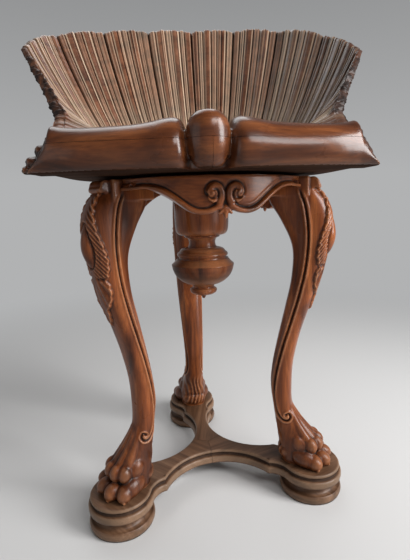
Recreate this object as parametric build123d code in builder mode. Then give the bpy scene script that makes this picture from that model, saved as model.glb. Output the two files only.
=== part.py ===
"""Swivel stool with a carved shell seat, in millimetres, +Z up.

The origin is on the floor, on the axis of the seat's screw. The seat faces -Y and is screwed right down.
"""

from build123d import *
from math import atan2, ceil, cos, degrees, radians, sin
import os

os.makedirs("parts", exist_ok=True)

# Fits
SHANK_CLEARANCE = 0.1  # round screws, dowels and pins in their holes
RUNNING_CLEARANCE = 0.35  # screw thread in its nut, washer round the spindle
HOLE_SPARE = 1.5  # blind holes run on past what sits in them
SEAT_GAP = 3.0  # seat's underside above the frame board

# Base, from the floor up
BASE_TURN = 8.0  # how far the legs stand turned from the seat's line, degrees
LEG_NAMES = ("rear", "left", "right")
LEG_STEP = 360 / len(LEG_NAMES)
FOOT_RADIUS = 158.0  # foot centres from the axis
PAD_RADIUS = 44.0
PAD_HEIGHT = 24.0
PAD_BEAD = 12.0  # height of the half-round at the foot of the pad
PAD_BEAD_SWELL = 3.0  # how far it swells out
PAD_COVE_SET = 8.0  # the hollow above it starts this far in
PAD_COVE = 2.5  # depth of that hollow

STRETCHER_THICK = 20.0
STRETCHER_LOWER = 11.0  # square lower band of the moulded edge
STRETCHER_STEP = 5.0  # height of the stepped band above it
STRETCHER_INSET = 3.0  # each step goes in by this
LOBE_RADIUS = 43.5
LOBE_SWEEP = 125.0  # the round end runs this far back, degrees
CUSP_REACH = 101.0  # pointed kink where the arm swells into its round end
CUSP_HALF_WIDTH = 26.0
CROTCH_RADIUS = 29.0  # nearest the hollow edges come to the axis
MITRE_DOWEL_RADIUS = 3.0
MITRE_DOWEL_LENGTH = 20.0

# Each leg station: share of the leg's height, outer and inner reach, half width
LEG_STATIONS = (
    (0.000, 167.0, 117.0, 22.0),
    (0.040, 168.0, 115.0, 23.0),
    (0.081, 164.0, 112.5, 22.5),
    (0.117, 153.0, 110.0, 19.0),
    (0.150, 142.0, 107.5, 16.5),
    (0.206, 131.0, 104.0, 15.0),
    (0.287, 129.5, 100.0, 15.5),
    (0.371, 131.5, 103.0, 17.0),
    (0.472, 140.0, 111.0, 19.0),
    (0.574, 152.5, 120.0, 20.5),
    (0.675, 165.0, 128.0, 21.0),
    (0.777, 174.0, 128.5, 21.5),
    (0.865, 179.0, 113.0, 21.5),
    (0.924, 172.0, 98.0, 21.5),
    (0.960, 160.0, 96.0, 21.0),
)
PAW_CENTRE = 145.0  # reach of the point that the toes fan out from
TOE_ANGLES = (-50.0, -17.0, 17.0, 50.0)  # about that point
TOE_REACH = 30.0  # middle of a toe from there
TOE_TURN = 0.6  # a toe points aside by this share of its angle
TOE_HALF_LENGTH = 13.5
TOE_RADIUS = 10.5
TOE_HEIGHT = 9.5  # middle of a toe above the stretcher, where its sole is flat
TOE_PITCH = 8.0  # how far it tips down, degrees
KNUCKLE_REACH = 20.0  # middle of a knuckle from the paw's centre
KNUCKLE_RADIUS = 9.0
KNUCKLE_HEIGHT = 31.0
TENDON_REACH = 126.0  # where the tendons run into the leg
TENDON_SPREAD = 6.0  # how far the outer ones lie to the side there
TENDON_HEIGHT = 84.0
TENDON_RADIUS = 4.0
TONGUE_REACH = 175.5  # smooth rolled tongue over the knee
TONGUE_DROP = 75.0  # its middle below the top of the leg
TONGUE_HALF_LENGTH = 28.0
TONGUE_RADIUS = 10.0
TONGUE_PITCH = 84.0
FRAME_HEIGHT = 448.0  # top of the leg heads and rails
HEAD_WIDTH = 44.0
HEAD_DEPTH = 56.0
HEAD_REACH = 150.0  # outer face of the leg head
HEAD_HEIGHT = 24.0
EAR_RADIUS = 8.0  # small scroll on the outside of the leg's head
EAR_WIDTH = 30.0

RAIL_OUTER = 140.0
RAIL_INNER = 118.0
RAIL_DEPTH = 42.0  # down to the lowest point of the scrolled edge
RAIL_END_DEPTH = 16.0  # beside the leg head
RAIL_ARCH = 2.0  # the edge arches up by this before it reaches the leg
RAIL_CURL = 4.0  # the lobe's inner side stands this far above its lowest point
RAIL_NOTCH_DEPTH = 32.0  # between the two scrolls
LOBE_OFFSET = 27.0  # lowest points, from the middle of the rail
LOBE_INNER_SHARE = 0.45  # the curl's inner side, as a share of the lobe's offset
LOBE_OUTER_SHARE = 1.8  # its outer side likewise
LOBE_OUTER_RISE = 0.45  # height of the outer side, as a share of the rise to the rail's end
RAIL_ARCH_SHARE = 2.8  # top of the arch, as a share of the lobe's offset
VOLUTE_RADIUS = 9.5
VOLUTE_OFFSET = 11.5
VOLUTE_DROP = 20.0  # centre of the volutes below the top of the rail
VOLUTE_PROUD = 3.5
RAIL_DOWEL_RADIUS = 3.0
RAIL_DOWEL_LENGTH = 30.0

BOARD_RADIUS = 130.0
BOARD_THICK = 11.0
BOARD_REBATE = 10.0  # depth of the rebate that it lies in

# Turned hub and drop round the screw
HUB_RADIUS = 39.0
HUB_DEPTH = 65.0  # cup of the hub, below the board
HUB_NECK_RADIUS = 21.0
HUB_NECK_LENGTH = 25.0
SCREW_WELL_RADIUS = 14.0
DROP_HEIGHT = 77.0
DROP_RADIUS = 45.5
DROP_RING_RADIUS = 36.5
DROP_LIP = 6.0  # flat top of the drop round the neck
DROP_FILLET = 3.0  # square band under the ring
DROP_GROOVE = 2.5  # depth of the groove under that
DROP_SOCKET_DEPTH = 8.0
# Turned profile of the drop, in shares of its height
RING_DROP = 0.17  # ring below the top
SHOULDER_DROP = 0.26  # shoulder below the top
BELLY_DROP = 0.25  # mid-point of the belly below the shoulder
BELLY_SHARE = 0.72  # radius there, as a share of the drop's
BUTTON_RISE = 0.2  # widest point of the button above the tip
BUTTON_NECK_RISE = 0.14  # neck above that
TIP_RISE = 0.07  # rounding of the tip
TIP_SHARE = 0.3  # radius there, as a share of the button's
BUTTON_RADIUS = 20.0
BUTTON_NECK_RADIUS = 16.0
WELL_FLOOR = 36.0  # bottom of the screw's well above the tip of the drop

# Iron screw and its nut
SPINDLE_RADIUS = 11.0
THREAD_DEPTH = 2.4
THREAD_PITCH = 8.0
THREAD_CREST = 3.4  # width of the thread along the axis at its crest
THREAD_FLANK = 0.6  # how much wider it is on each side at its root
THREAD_ROOT_LAP = 0.4  # the thread is sunk this far into what carries it
THREAD_START = 9.0  # plain end of the spindle below the thread
SPINDLE_LENGTH = 128.0  # below the seat plate
TENON_RADIUS = 7.5
COLLAR_HEIGHT = 3.0  # plain shoulder that carries the seat plate
STOP_PIN_RADIUS = 2.5
STOP_PIN_LENGTH = 25.0
STOP_PIN_HEIGHT = 5.0  # above the spindle's lower end
NUT_FLANGE_RADIUS = 33.0
NUT_FLANGE_THICK = 4.0
NUT_FLANGE_PROUD = 2.0
NUT_BARREL_RADIUS = 16.0
NUT_BARREL_LENGTH = 39.0
WASHER_RADIUS = 19.5
WASHER_THICK = 2.0

# Seat
PLATE_RADIUS = 62.0
PLATE_THICK = 5.0
PLATE_BOSS_RADIUS = 17.0
PLATE_BOSS_HEIGHT = 12.0
SEAT_BOARD_THICK = 28.0
SEAT_HALF_WIDTH = 166.0  # seat board, across the sides
SEAT_SIDE_Y = -60.0  # its sides are straight in front of this
SEAT_BACK_Y = 96.0
SEAT_JOINT_X = 3.0  # joint between the two halves of the seat board
SEAT_DOWEL_RADIUS = 4.0
SEAT_DOWEL_LENGTH = 48.0
SEAT_DOWEL_YS = (-95.0, 75.0)
SEAT_EDGE_STEPS = 12  # points on each side that its curved edge is drawn through

UMBO_Y = -150.0  # the flutes fan out from here
FRONT_JOINT_Y = -120.0  # staves meet the front block here
RIM_HEIGHT = 253.0  # of the rim, the waist and the ear: above the seat's underside
RIM_BACK_Y = 174.0
RIM_HALF_WIDTH = 234.0
CORNER_Y = 15.0
CORNER_DROP = 77.0
WAIST_HALF_WIDTH = 170.0
WAIST_Y = -79.0
WAIST_HEIGHT = 71.0
EAR_HEIGHT = 42.0  # where the fan ends at the front block
PLAN_POWER = 2.4  # squareness of the rim and of the seat board
SHELL_THICK = 14.0  # at the rim
FLOOR_THICK = 8.0
# Inside of the bowl along any flute: share of the reach, share of the rise
BOWL_PROFILE = ((0.06, 0.02), (0.36, 0.0), (0.58, 0.1), (0.7, 0.28), (0.82, 0.54), (0.92, 0.78), (1.0, 1.0))
WALL_START = 3  # the outside follows the bowl from this point of it on
STAVE_EDGES = (0.0, 13.0, 26.0, 40.0, 54.0)  # joints between staves on each side, degrees
FAN_SPARE = 4.0  # the last stave runs on this far before it is cut, degrees
FLUTE_PITCH = 2.2  # about one rib each so many degrees
FLUTE_RHYTHM = (1.0, 0.7, 1.25, 0.85, 1.4, 0.95)  # widths of neighbouring ribs, against each other
FLUTE_DEPTH = 2.6  # grooves between the ribs
JOINT_DEPTH = 4.2  # grooves along the joints between staves

# Each station of the front roll: from the middle, front face, height of the top, height at the back joint
ROLL_STATIONS = (
    (0.0, -172.0, 36.0, 34.0),
    (17.0, -174.0, 37.0, 35.0),
    (34.0, -186.0, 50.0, 37.0),
    (62.0, -184.0, 45.0, 37.0),
    (102.0, -179.0, 38.0, 36.0),
    (136.0, -173.0, 40.0, 38.0),
    (153.0, -168.0, 40.0, 38.0),
    (165.0, -164.0, 27.0, 25.0),
    (177.0, -160.0, 6.0, 5.0),
)
# Section of the roll: share of its depth back from the front face, share of its height
ROLL_PROFILE = ((0.0, 0.48), (0.22, 0.92), (0.48, 1.0))
ROLL_TUCK = 9.0  # the roll's foot lies this far behind its front
BOSS_RADIUS = 20.0
BOSS_FRONT_Y = -192.0
BOSS_HEIGHT = 55.0
BOSS_DOME = 15.0

# Wood screws: head radius, head depth and shank radius
SCREW_HEAD_RADIUS = 5.0
SCREW_HEAD_DEPTH = 3.0
SCREW_RADIUS = 2.2
FOOT_SCREW_RADIUS = 3.2
FOOT_SCREW_HEAD_RADIUS = 7.0
FOOT_SCREW_HEAD_DEPTH = 4.0
FOOT_SCREW_RECESS = 3.0
FOOT_SCREW_LENGTH = 72.0
BOARD_SCREW_REACH = 118.0
BOARD_SCREW_LENGTH = 42.0
NUT_SCREW_COUNT = 4
NUT_SCREW_REACH = 26.0
NUT_SCREW_LENGTH = 30.0
PLATE_SCREW_COUNT = 6
PLATE_SCREW_REACH = 48.0
PLATE_SCREW_LENGTH = 19.0

# Heights worked out from the stack
stretcher_bottom = PAD_HEIGHT
stretcher_top = PAD_HEIGHT + STRETCHER_THICK
board_bottom = FRAME_HEIGHT - BOARD_REBATE
board_top = board_bottom + BOARD_THICK
flange_top = board_top + NUT_FLANGE_PROUD
flange_bottom = flange_top - NUT_FLANGE_THICK
nut_bottom = flange_bottom - NUT_BARREL_LENGTH
plate_bottom = flange_top + WASHER_THICK
plate_top = plate_bottom + PLATE_THICK
seat_bottom = board_top + SEAT_GAP
seat_board_top = seat_bottom + SEAT_BOARD_THICK
shell_floor = seat_board_top + FLOOR_THICK
hub_bottom = board_bottom - HUB_DEPTH - HUB_NECK_LENGTH
drop_top = hub_bottom + DROP_SOCKET_DEPTH
drop_bottom = drop_top - DROP_HEIGHT
spindle_bottom = plate_bottom - SPINDLE_LENGTH
thread_root = SPINDLE_RADIUS - THREAD_DEPTH
LEG_AZIMUTHS = [90 + BASE_TURN + LEG_STEP * index for index in range(len(LEG_NAMES))]


def outward(azimuth: float) -> Vector:
    """Level direction at an azimuth."""
    return Vector(cos(radians(azimuth)), sin(radians(azimuth)), 0)


def upright(azimuth: float, reach: float = 0.0) -> Plane:
    """Upright plane through a point at some reach: x runs outward, y runs up."""
    return Plane(outward(azimuth) * reach, x_dir=outward(azimuth), z_dir=outward(azimuth - 90))


def facing(azimuth: float, reach: float) -> Plane:
    """Upright plane that faces outward: x runs along it to the left, y runs up."""
    return Plane(outward(azimuth) * reach, x_dir=outward(azimuth + 90), z_dir=outward(azimuth))


def wedge(azimuth: float) -> list[Vector]:
    """Corners of the third of the plan that lies about an azimuth."""
    reach = 2 * (FOOT_RADIUS + LOBE_RADIUS)
    return [Vector(0, 0)] + [outward(azimuth + LEG_STEP * share) * reach for share in (-0.5, 0, 0.5)]


def upright_axis(azimuth: float, reach: float) -> Axis:
    """Vertical axis at some reach."""
    return Axis(outward(azimuth) * reach, (0, 0, 1))


def screw(
    azimuth, reach, head_z, length, point_down, radius, head_radius, head_depth, grow=0.0, mode=Mode.ADD
):
    """Countersunk screw, or with some growth its hole, in the part being made."""
    way = -1 if point_down else 1
    spare = HOLE_SPARE if grow else 0
    shank = radius + grow
    head = head_radius + grow
    tip_z = head_z + way * (length + spare)
    with BuildSketch(upright(azimuth, reach)) as profile:
        with BuildLine():
            Polyline(
                (0, head_z),
                (head, head_z),
                (shank, head_z + way * head_depth),
                (shank, tip_z - way * shank),
                (0, tip_z),
                close=True,
            )
        make_face()
    revolve(profile.sketch, axis=upright_axis(azimuth, reach), mode=mode)


def foot_screw(azimuth, grow=0.0, mode=Mode.ADD):
    """Long screw up through pad and stretcher into the paw."""
    screw(
        azimuth, FOOT_RADIUS, FOOT_SCREW_RECESS, FOOT_SCREW_LENGTH, False,
        FOOT_SCREW_RADIUS, FOOT_SCREW_HEAD_RADIUS, FOOT_SCREW_HEAD_DEPTH, grow, mode,
    )


def board_screw(azimuth, grow=0.0, mode=Mode.ADD):
    """Screw down through the frame board into a leg head."""
    screw(
        azimuth, BOARD_SCREW_REACH, board_top, BOARD_SCREW_LENGTH, True,
        SCREW_RADIUS, SCREW_HEAD_RADIUS, SCREW_HEAD_DEPTH, grow, mode,
    )


def nut_screws(grow=0.0, mode=Mode.ADD):
    """Screws down through the nut's flange into board and hub."""
    for index in range(NUT_SCREW_COUNT):
        screw(
            360 / NUT_SCREW_COUNT * index, NUT_SCREW_REACH, flange_top, NUT_SCREW_LENGTH, True,
            SCREW_RADIUS, SCREW_HEAD_RADIUS, SCREW_HEAD_DEPTH, grow, mode,
        )


def plate_screws(grow=0.0, mode=Mode.ADD):
    """Screws up through the seat plate into the seat board."""
    for index in range(PLATE_SCREW_COUNT):
        screw(
            360 / PLATE_SCREW_COUNT * index, PLATE_SCREW_REACH, plate_bottom, PLATE_SCREW_LENGTH, False,
            SCREW_RADIUS, SCREW_HEAD_RADIUS, SCREW_HEAD_DEPTH, grow, mode,
        )


def peg(plane: Plane, radius: float, length: float, mode=Mode.ADD):
    """Round peg, or its hole, centred on a plane and square to it."""
    with BuildSketch(plane) as end:
        Circle(radius)
    extrude(end.sketch, amount=length / 2, both=True, mode=mode)


def mitre_pegs(radius, length, mode=Mode.ADD):
    """Pegs across the stretcher's mitre joints."""
    for azimuth in LEG_AZIMUTHS:
        mid = azimuth + LEG_STEP / 2
        height = stretcher_bottom + STRETCHER_LOWER / 2
        centre = outward(mid) * CROTCH_RADIUS / 2 + Vector(0, 0, height)
        peg(Plane(centre, z_dir=outward(mid + 90)), radius, length, mode)


def rail_pegs(radius, length, mode=Mode.ADD):
    """Pegs between rail ends and the sides of the leg heads."""
    reach = (RAIL_OUTER + BOARD_RADIUS) / 2
    height = FRAME_HEIGHT - RAIL_END_DEPTH / 2
    for azimuth in LEG_AZIMUTHS:
        for side in (-1, 1):
            across = outward(azimuth + 90)
            centre = outward(azimuth) * reach + across * side * HEAD_WIDTH / 2 + Vector(0, 0, height)
            peg(Plane(centre, z_dir=across), radius, length, mode)


def seat_pegs(radius, length, mode=Mode.ADD):
    """Pegs across the joint of the seat board."""
    height = (plate_top + seat_board_top) / 2
    for y in SEAT_DOWEL_YS:
        peg(Plane((SEAT_JOINT_X, y, height), z_dir=(1, 0, 0)), radius, length, mode)


def stretcher_outline(inset: float):
    """Plan of the whole three-armed stretcher, with all its edges taken in by an inset."""
    half_step = LEG_STEP / 2
    crotch = outward(half_step) * CROTCH_RADIUS
    cusp = Vector(CUSP_REACH, CUSP_HALF_WIDTH)
    lobe_centre = Vector(FOOT_RADIUS, 0)
    lobe_end = lobe_centre + outward(LOBE_SWEEP) * LOBE_RADIUS
    with BuildSketch() as arm_plan:
        with BuildLine():
            Line((0, 0), crotch)
            TangentArc(crotch, cusp, tangent=outward(half_step - 90))
            TangentArc(lobe_end, cusp, tangent=outward(LOBE_SWEEP + 90))
            CenterArc(lobe_centre, LOBE_RADIUS, 0, LOBE_SWEEP)
            mirror(about=Plane.XZ)
        make_face()
    for azimuth in LEG_AZIMUTHS:
        add(arm_plan.sketch, rotation=azimuth)
    if inset:
        offset(amount=-inset, kind=Kind.INTERSECTION)


def plan_reach(angle: float, half_width: float, side_y: float, back_y: float) -> float:
    """Distance from the umbo, at a fan angle, to a rounded-square plan with straight sides in front."""
    near, far = 0.0, 2 * (half_width + back_y - UMBO_Y)
    for _ in range(60):
        middle = (near + far) / 2
        x = middle * sin(radians(angle))
        y = UMBO_Y + middle * cos(radians(angle))
        back = max(y - side_y, 0) / (back_y - side_y)
        if abs(x / half_width) ** PLAN_POWER + back**PLAN_POWER < 1:
            near = middle
        else:
            far = middle
    return near


def line_reach(angle: float, start: Vector, end: Vector) -> float:
    """Distance from the umbo, at a fan angle, to the line through two plan points."""
    run = end - start
    way = Vector(sin(radians(angle)), cos(radians(angle)))
    gap = start - Vector(0, UMBO_Y)
    return (gap.X * run.Y - gap.Y * run.X) / (way.X * run.Y - way.Y * run.X)


corner = Vector(RIM_HALF_WIDTH, CORNER_Y)
waist = Vector(WAIST_HALF_WIDTH, WAIST_Y)
ear = Vector(SEAT_HALF_WIDTH, FRONT_JOINT_Y)
corner_angle = degrees(atan2(corner.X, corner.Y - UMBO_Y))
waist_angle = degrees(atan2(waist.X, waist.Y - UMBO_Y))
fan_end = degrees(atan2(ear.X, ear.Y - UMBO_Y))


def rim(angle: float) -> tuple[float, float]:
    """Reach from the umbo and height of the shell's outer rim at a fan angle."""
    size = abs(angle)
    corner_height = RIM_HEIGHT - CORNER_DROP
    if size <= corner_angle:
        reach = plan_reach(size, RIM_HALF_WIDTH, CORNER_Y, RIM_BACK_Y)
        return reach, seat_bottom + RIM_HEIGHT - CORNER_DROP * (size / corner_angle) ** 3
    start, end = (corner, waist) if size <= waist_angle else (waist, ear)
    start_z, end_z = (corner_height, WAIST_HEIGHT) if size <= waist_angle else (WAIST_HEIGHT, EAR_HEIGHT)
    reach = line_reach(size, start, end)
    y = UMBO_Y + reach * cos(radians(size))
    along = (y - start.Y) / (end.Y - start.Y)
    return reach, seat_bottom + start_z + (end_z - start_z) * min(along, 1)


def board_reach(angle: float) -> float:
    """Reach from the umbo to the seat board's edge at a fan angle."""
    return plan_reach(abs(angle), SEAT_HALF_WIDTH, SEAT_SIDE_Y, SEAT_BACK_Y)


def stave_section(angle: float, hollow: float) -> Sketch:
    """Upright section of the shell along one fan angle, its inside deepened by a hollow."""
    reach, height = rim(angle)
    foot = board_reach(angle)
    inner = reach - SHELL_THICK
    rise = height - shell_floor
    lean = reach - foot
    wall = height - seat_board_top
    inside = [
        (inner * share + hollow * share, shell_floor + rise * lift - hollow * (1 - share))
        for share, lift in BOWL_PROFILE
    ]
    outside = [
        (max(inner * share + SHELL_THICK, foot + lean * lift / 2), seat_board_top + wall * lift)
        for share, lift in reversed(BOWL_PROFILE[WALL_START:])
    ]
    outside.append((foot, seat_board_top))
    way = Vector(sin(radians(angle)), cos(radians(angle)))
    with BuildSketch(Plane((0, UMBO_Y, 0), x_dir=way, z_dir=(way.Y, -way.X, 0))) as section:
        with BuildLine():
            Spline(*inside)
            Line(inside[-1], outside[0])
            Spline(*outside)
            Line(outside[-1], (inside[0][0], seat_board_top))
            Line((inside[0][0], seat_board_top), inside[0])
        make_face()
    return section.sketch


def egg(azimuth, centre, half_length, radius, pitch, yaw=0.0):
    """Egg in the part being made: its length tips down and turns from a leg's azimuth, degrees."""
    level = outward(azimuth + yaw)
    way = level * cos(radians(pitch)) - Vector(0, 0, sin(radians(pitch)))
    with BuildSketch(Plane(centre, x_dir=way, z_dir=outward(azimuth + yaw - 90))) as half:
        with BuildLine():
            EllipticalCenterArc((0, 0), half_length, radius, start_angle=0, arc_size=180)
            Line((-half_length, 0), (half_length, 0))
        make_face()
    revolve(half.sketch, axis=Axis(centre, way))


def tendon(start, end, first, last):
    """Round-ended limb in the part being made, from a knuckle up into the leg."""
    run = end - start
    aside = Vector(-run.Y, run.X, 0)
    with BuildSketch(Plane(start, x_dir=run, z_dir=aside)) as half:
        with BuildLine():
            CenterArc((0, 0), first, 90, 90)
            Polyline((0, first), (run.length, last), (run.length, 0), (-first, 0))
        make_face()
    revolve(half.sketch, axis=Axis(start, run))


def paw(azimuth):
    """Toes of a lion's paw with their knuckles and tendons, in the part being made."""
    for angle in TOE_ANGLES:
        way = outward(azimuth + angle)
        centre = outward(azimuth) * PAW_CENTRE + Vector(0, 0, stretcher_top)
        toe = centre + way * TOE_REACH + Vector(0, 0, TOE_HEIGHT)
        knuckle = centre + way * KNUCKLE_REACH + Vector(0, 0, KNUCKLE_HEIGHT)
        spread = TENDON_SPREAD * angle / max(TOE_ANGLES)
        root = outward(azimuth) * TENDON_REACH + outward(azimuth + 90) * spread
        egg(azimuth, toe, TOE_HALF_LENGTH, TOE_RADIUS, TOE_PITCH, TOE_TURN * angle)
        tendon(knuckle, root + Vector(0, 0, stretcher_top + TENDON_HEIGHT), KNUCKLE_RADIUS, TENDON_RADIUS)


def thread(start: float, length: float, root: float, depth: float, crest: float, flank: float):
    """Helical thread from its root radius; a negative depth points inward."""
    lap = THREAD_ROOT_LAP if depth > 0 else -THREAD_ROOT_LAP
    base = root - lap
    path = Helix(THREAD_PITCH, length, base, center=(0, 0, start), mode=Mode.PRIVATE)
    with BuildSketch(Plane((base, 0, start), x_dir=(1, 0, 0), z_dir=(0, -1, 0))) as section:
        with BuildLine():
            Polyline(
                (0, -crest / 2 - flank),
                (depth + lap, -crest / 2),
                (depth + lap, crest / 2),
                (0, crest / 2 + flank),
                close=True,
            )
        make_face()
    sweep(section.sketch, path=path, is_frenet=True)


# Foot pads
for name, azimuth in zip(LEG_NAMES, LEG_AZIMUTHS):
    foot = PAD_RADIUS - PAD_BEAD_SWELL
    neck = PAD_RADIUS - PAD_COVE_SET
    with BuildPart() as foot_pad:
        with BuildSketch(upright(azimuth, FOOT_RADIUS)):
            with BuildLine():
                Polyline((0, PAD_HEIGHT), (0, 0), (foot, 0))
                ThreePointArc((foot, 0), (PAD_RADIUS, PAD_BEAD / 2), (foot, PAD_BEAD))
                Line((foot, PAD_BEAD), (neck, PAD_BEAD))
                ThreePointArc(
                    (neck, PAD_BEAD), (neck - PAD_COVE, (PAD_BEAD + PAD_HEIGHT) / 2), (neck, PAD_HEIGHT)
                )
                Line((neck, PAD_HEIGHT), (0, PAD_HEIGHT))
            make_face()
        revolve(axis=upright_axis(azimuth, FOOT_RADIUS))
        with BuildSketch(Plane(outward(azimuth) * FOOT_RADIUS)):
            Circle(FOOT_SCREW_HEAD_RADIUS + SHANK_CLEARANCE)
        extrude(amount=FOOT_SCREW_RECESS, mode=Mode.SUBTRACT)
        foot_screw(azimuth, SHANK_CLEARANCE, Mode.SUBTRACT)
    foot_pad.part.label = f"foot_pad_{name}"
    export_step(foot_pad.part, f"parts/foot_pad_{name}.step")

with BuildPart() as foot_screws:
    for azimuth in LEG_AZIMUTHS:
        foot_screw(azimuth)
foot_screws.part.label = "foot_screws"
export_step(foot_screws.part, "parts/foot_screws.step")

# Stretcher arms, mitred at the centre
stretcher_lip = STRETCHER_LOWER + STRETCHER_STEP
stretcher_layers = (
    (0.0, STRETCHER_LOWER, 0.0),
    (STRETCHER_LOWER, STRETCHER_STEP, STRETCHER_INSET),
    (stretcher_lip, STRETCHER_THICK - stretcher_lip, 2 * STRETCHER_INSET),
)
for name, azimuth in zip(LEG_NAMES, LEG_AZIMUTHS):
    with BuildPart() as stretcher_arm:
        for start, thick, inset in stretcher_layers:
            with BuildSketch(Plane.XY.offset(stretcher_bottom + start)):
                stretcher_outline(inset)
                with BuildLine():
                    Polyline(*wedge(azimuth), close=True)
                make_face(mode=Mode.INTERSECT)
            extrude(amount=thick)
        foot_screw(azimuth, SHANK_CLEARANCE, Mode.SUBTRACT)
        mitre_pegs(MITRE_DOWEL_RADIUS + SHANK_CLEARANCE, MITRE_DOWEL_LENGTH + HOLE_SPARE, Mode.SUBTRACT)
    stretcher_arm.part.label = f"stretcher_arm_{name}"
    export_step(stretcher_arm.part, f"parts/stretcher_arm_{name}.step")

with BuildPart() as stretcher_dowels:
    mitre_pegs(MITRE_DOWEL_RADIUS, MITRE_DOWEL_LENGTH)
stretcher_dowels.part.label = "stretcher_dowels"
export_step(stretcher_dowels.part, "parts/stretcher_dowels.step")

# Cabriole legs
leg_height = FRAME_HEIGHT - stretcher_top
for name, azimuth in zip(LEG_NAMES, LEG_AZIMUTHS):
    level = Plane.XY.rotated((0, 0, azimuth))
    with BuildPart() as leg:
        for share, outer, inner, half_width in LEG_STATIONS:
            with BuildSketch(level.offset(stretcher_top + share * leg_height)):
                with BuildLine():
                    middle = (outer + inner) / 2
                    half_depth = (outer - inner) / 2
                    Spline(
                        *[
                            (middle + half_depth * cos(radians(turn)), half_width * sin(radians(turn)))
                            for turn in range(0, 360, 45)
                        ],
                        periodic=True,
                    )
                make_face()
        loft()
        with BuildSketch(level.offset(FRAME_HEIGHT)):
            with Locations((HEAD_REACH - HEAD_DEPTH / 2, 0)):
                Rectangle(HEAD_DEPTH, HEAD_WIDTH)
        extrude(amount=-HEAD_HEIGHT)
        with BuildSketch(upright(azimuth)):
            with Locations((HEAD_REACH + EAR_RADIUS / 2, FRAME_HEIGHT - EAR_RADIUS)):
                Circle(EAR_RADIUS)
        extrude(amount=EAR_WIDTH / 2, both=True)
        paw(azimuth)
        split(bisect_by=Plane.XY.offset(stretcher_top), keep=Keep.TOP)
        knee = outward(azimuth) * TONGUE_REACH + Vector(0, 0, FRAME_HEIGHT - TONGUE_DROP)
        egg(azimuth, knee, TONGUE_HALF_LENGTH, TONGUE_RADIUS, TONGUE_PITCH)
        with BuildSketch(Plane.XY.offset(board_bottom)):
            Circle(BOARD_RADIUS)
        extrude(amount=BOARD_REBATE, mode=Mode.SUBTRACT)
        foot_screw(azimuth, SHANK_CLEARANCE, Mode.SUBTRACT)
        board_screw(azimuth, SHANK_CLEARANCE, Mode.SUBTRACT)
        rail_pegs(RAIL_DOWEL_RADIUS + SHANK_CLEARANCE, RAIL_DOWEL_LENGTH + HOLE_SPARE, Mode.SUBTRACT)
    leg.part.label = f"leg_{name}"
    export_step(leg.part, f"parts/leg_{name}.step")

# Apron rails between the leg heads, with a scrolled lower edge
RAIL_NAMES = ("back_left", "front", "back_right")
for name, azimuth in zip(RAIL_NAMES, LEG_AZIMUTHS):
    mid = azimuth + LEG_STEP / 2
    low = FRAME_HEIGHT - RAIL_DEPTH
    with BuildPart() as apron_rail:
        with BuildSketch(Plane.XY.offset(low)):
            Circle(RAIL_OUTER)
            Circle(RAIL_INNER, mode=Mode.SUBTRACT)
            with PolarLocations(RAIL_OUTER / 2, len(LEG_NAMES), LEG_AZIMUTHS[0]):
                Rectangle(2 * RAIL_OUTER - RAIL_INNER, HEAD_WIDTH, mode=Mode.SUBTRACT)
            with BuildLine():
                Polyline(*wedge(mid), close=True)
            make_face(mode=Mode.INTERSECT)
        extrude(amount=RAIL_DEPTH)
        with BuildSketch(facing(mid, RAIL_INNER * cos(radians(LEG_STEP / 2)) / 2)):
            with BuildLine():
                edge = [
                    (0, FRAME_HEIGHT - RAIL_NOTCH_DEPTH),
                    (LOBE_OFFSET * LOBE_INNER_SHARE, low + RAIL_CURL),
                    (LOBE_OFFSET, low),
                    (LOBE_OFFSET * LOBE_OUTER_SHARE, low + LOBE_OUTER_RISE * (RAIL_DEPTH - RAIL_END_DEPTH)),
                    (LOBE_OFFSET * RAIL_ARCH_SHARE, FRAME_HEIGHT - RAIL_END_DEPTH + RAIL_ARCH),
                    (RAIL_OUTER, FRAME_HEIGHT - RAIL_END_DEPTH),
                ]
                Spline(*edge)
                Polyline(edge[-1], (RAIL_OUTER, FRAME_HEIGHT), (0, FRAME_HEIGHT))
                mirror(about=Plane.YZ)
            make_face()
        extrude(amount=RAIL_OUTER + VOLUTE_PROUD, mode=Mode.INTERSECT)
        with BuildSketch(facing(mid, (RAIL_OUTER + RAIL_INNER) / 2)):
            with Locations(*[(side * VOLUTE_OFFSET, FRAME_HEIGHT - VOLUTE_DROP) for side in (-1, 1)]):
                Circle(VOLUTE_RADIUS)
        extrude(amount=(RAIL_OUTER - RAIL_INNER) / 2 + VOLUTE_PROUD)
        with BuildSketch(Plane.XY.offset(board_bottom)):
            Circle(BOARD_RADIUS)
        extrude(amount=BOARD_REBATE, mode=Mode.SUBTRACT)
        rail_pegs(RAIL_DOWEL_RADIUS + SHANK_CLEARANCE, RAIL_DOWEL_LENGTH + HOLE_SPARE, Mode.SUBTRACT)
    apron_rail.part.label = f"apron_rail_{name}"
    export_step(apron_rail.part, f"parts/apron_rail_{name}.step")

with BuildPart() as rail_dowels:
    rail_pegs(RAIL_DOWEL_RADIUS, RAIL_DOWEL_LENGTH)
rail_dowels.part.label = "rail_dowels"
export_step(rail_dowels.part, "parts/rail_dowels.step")

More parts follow.
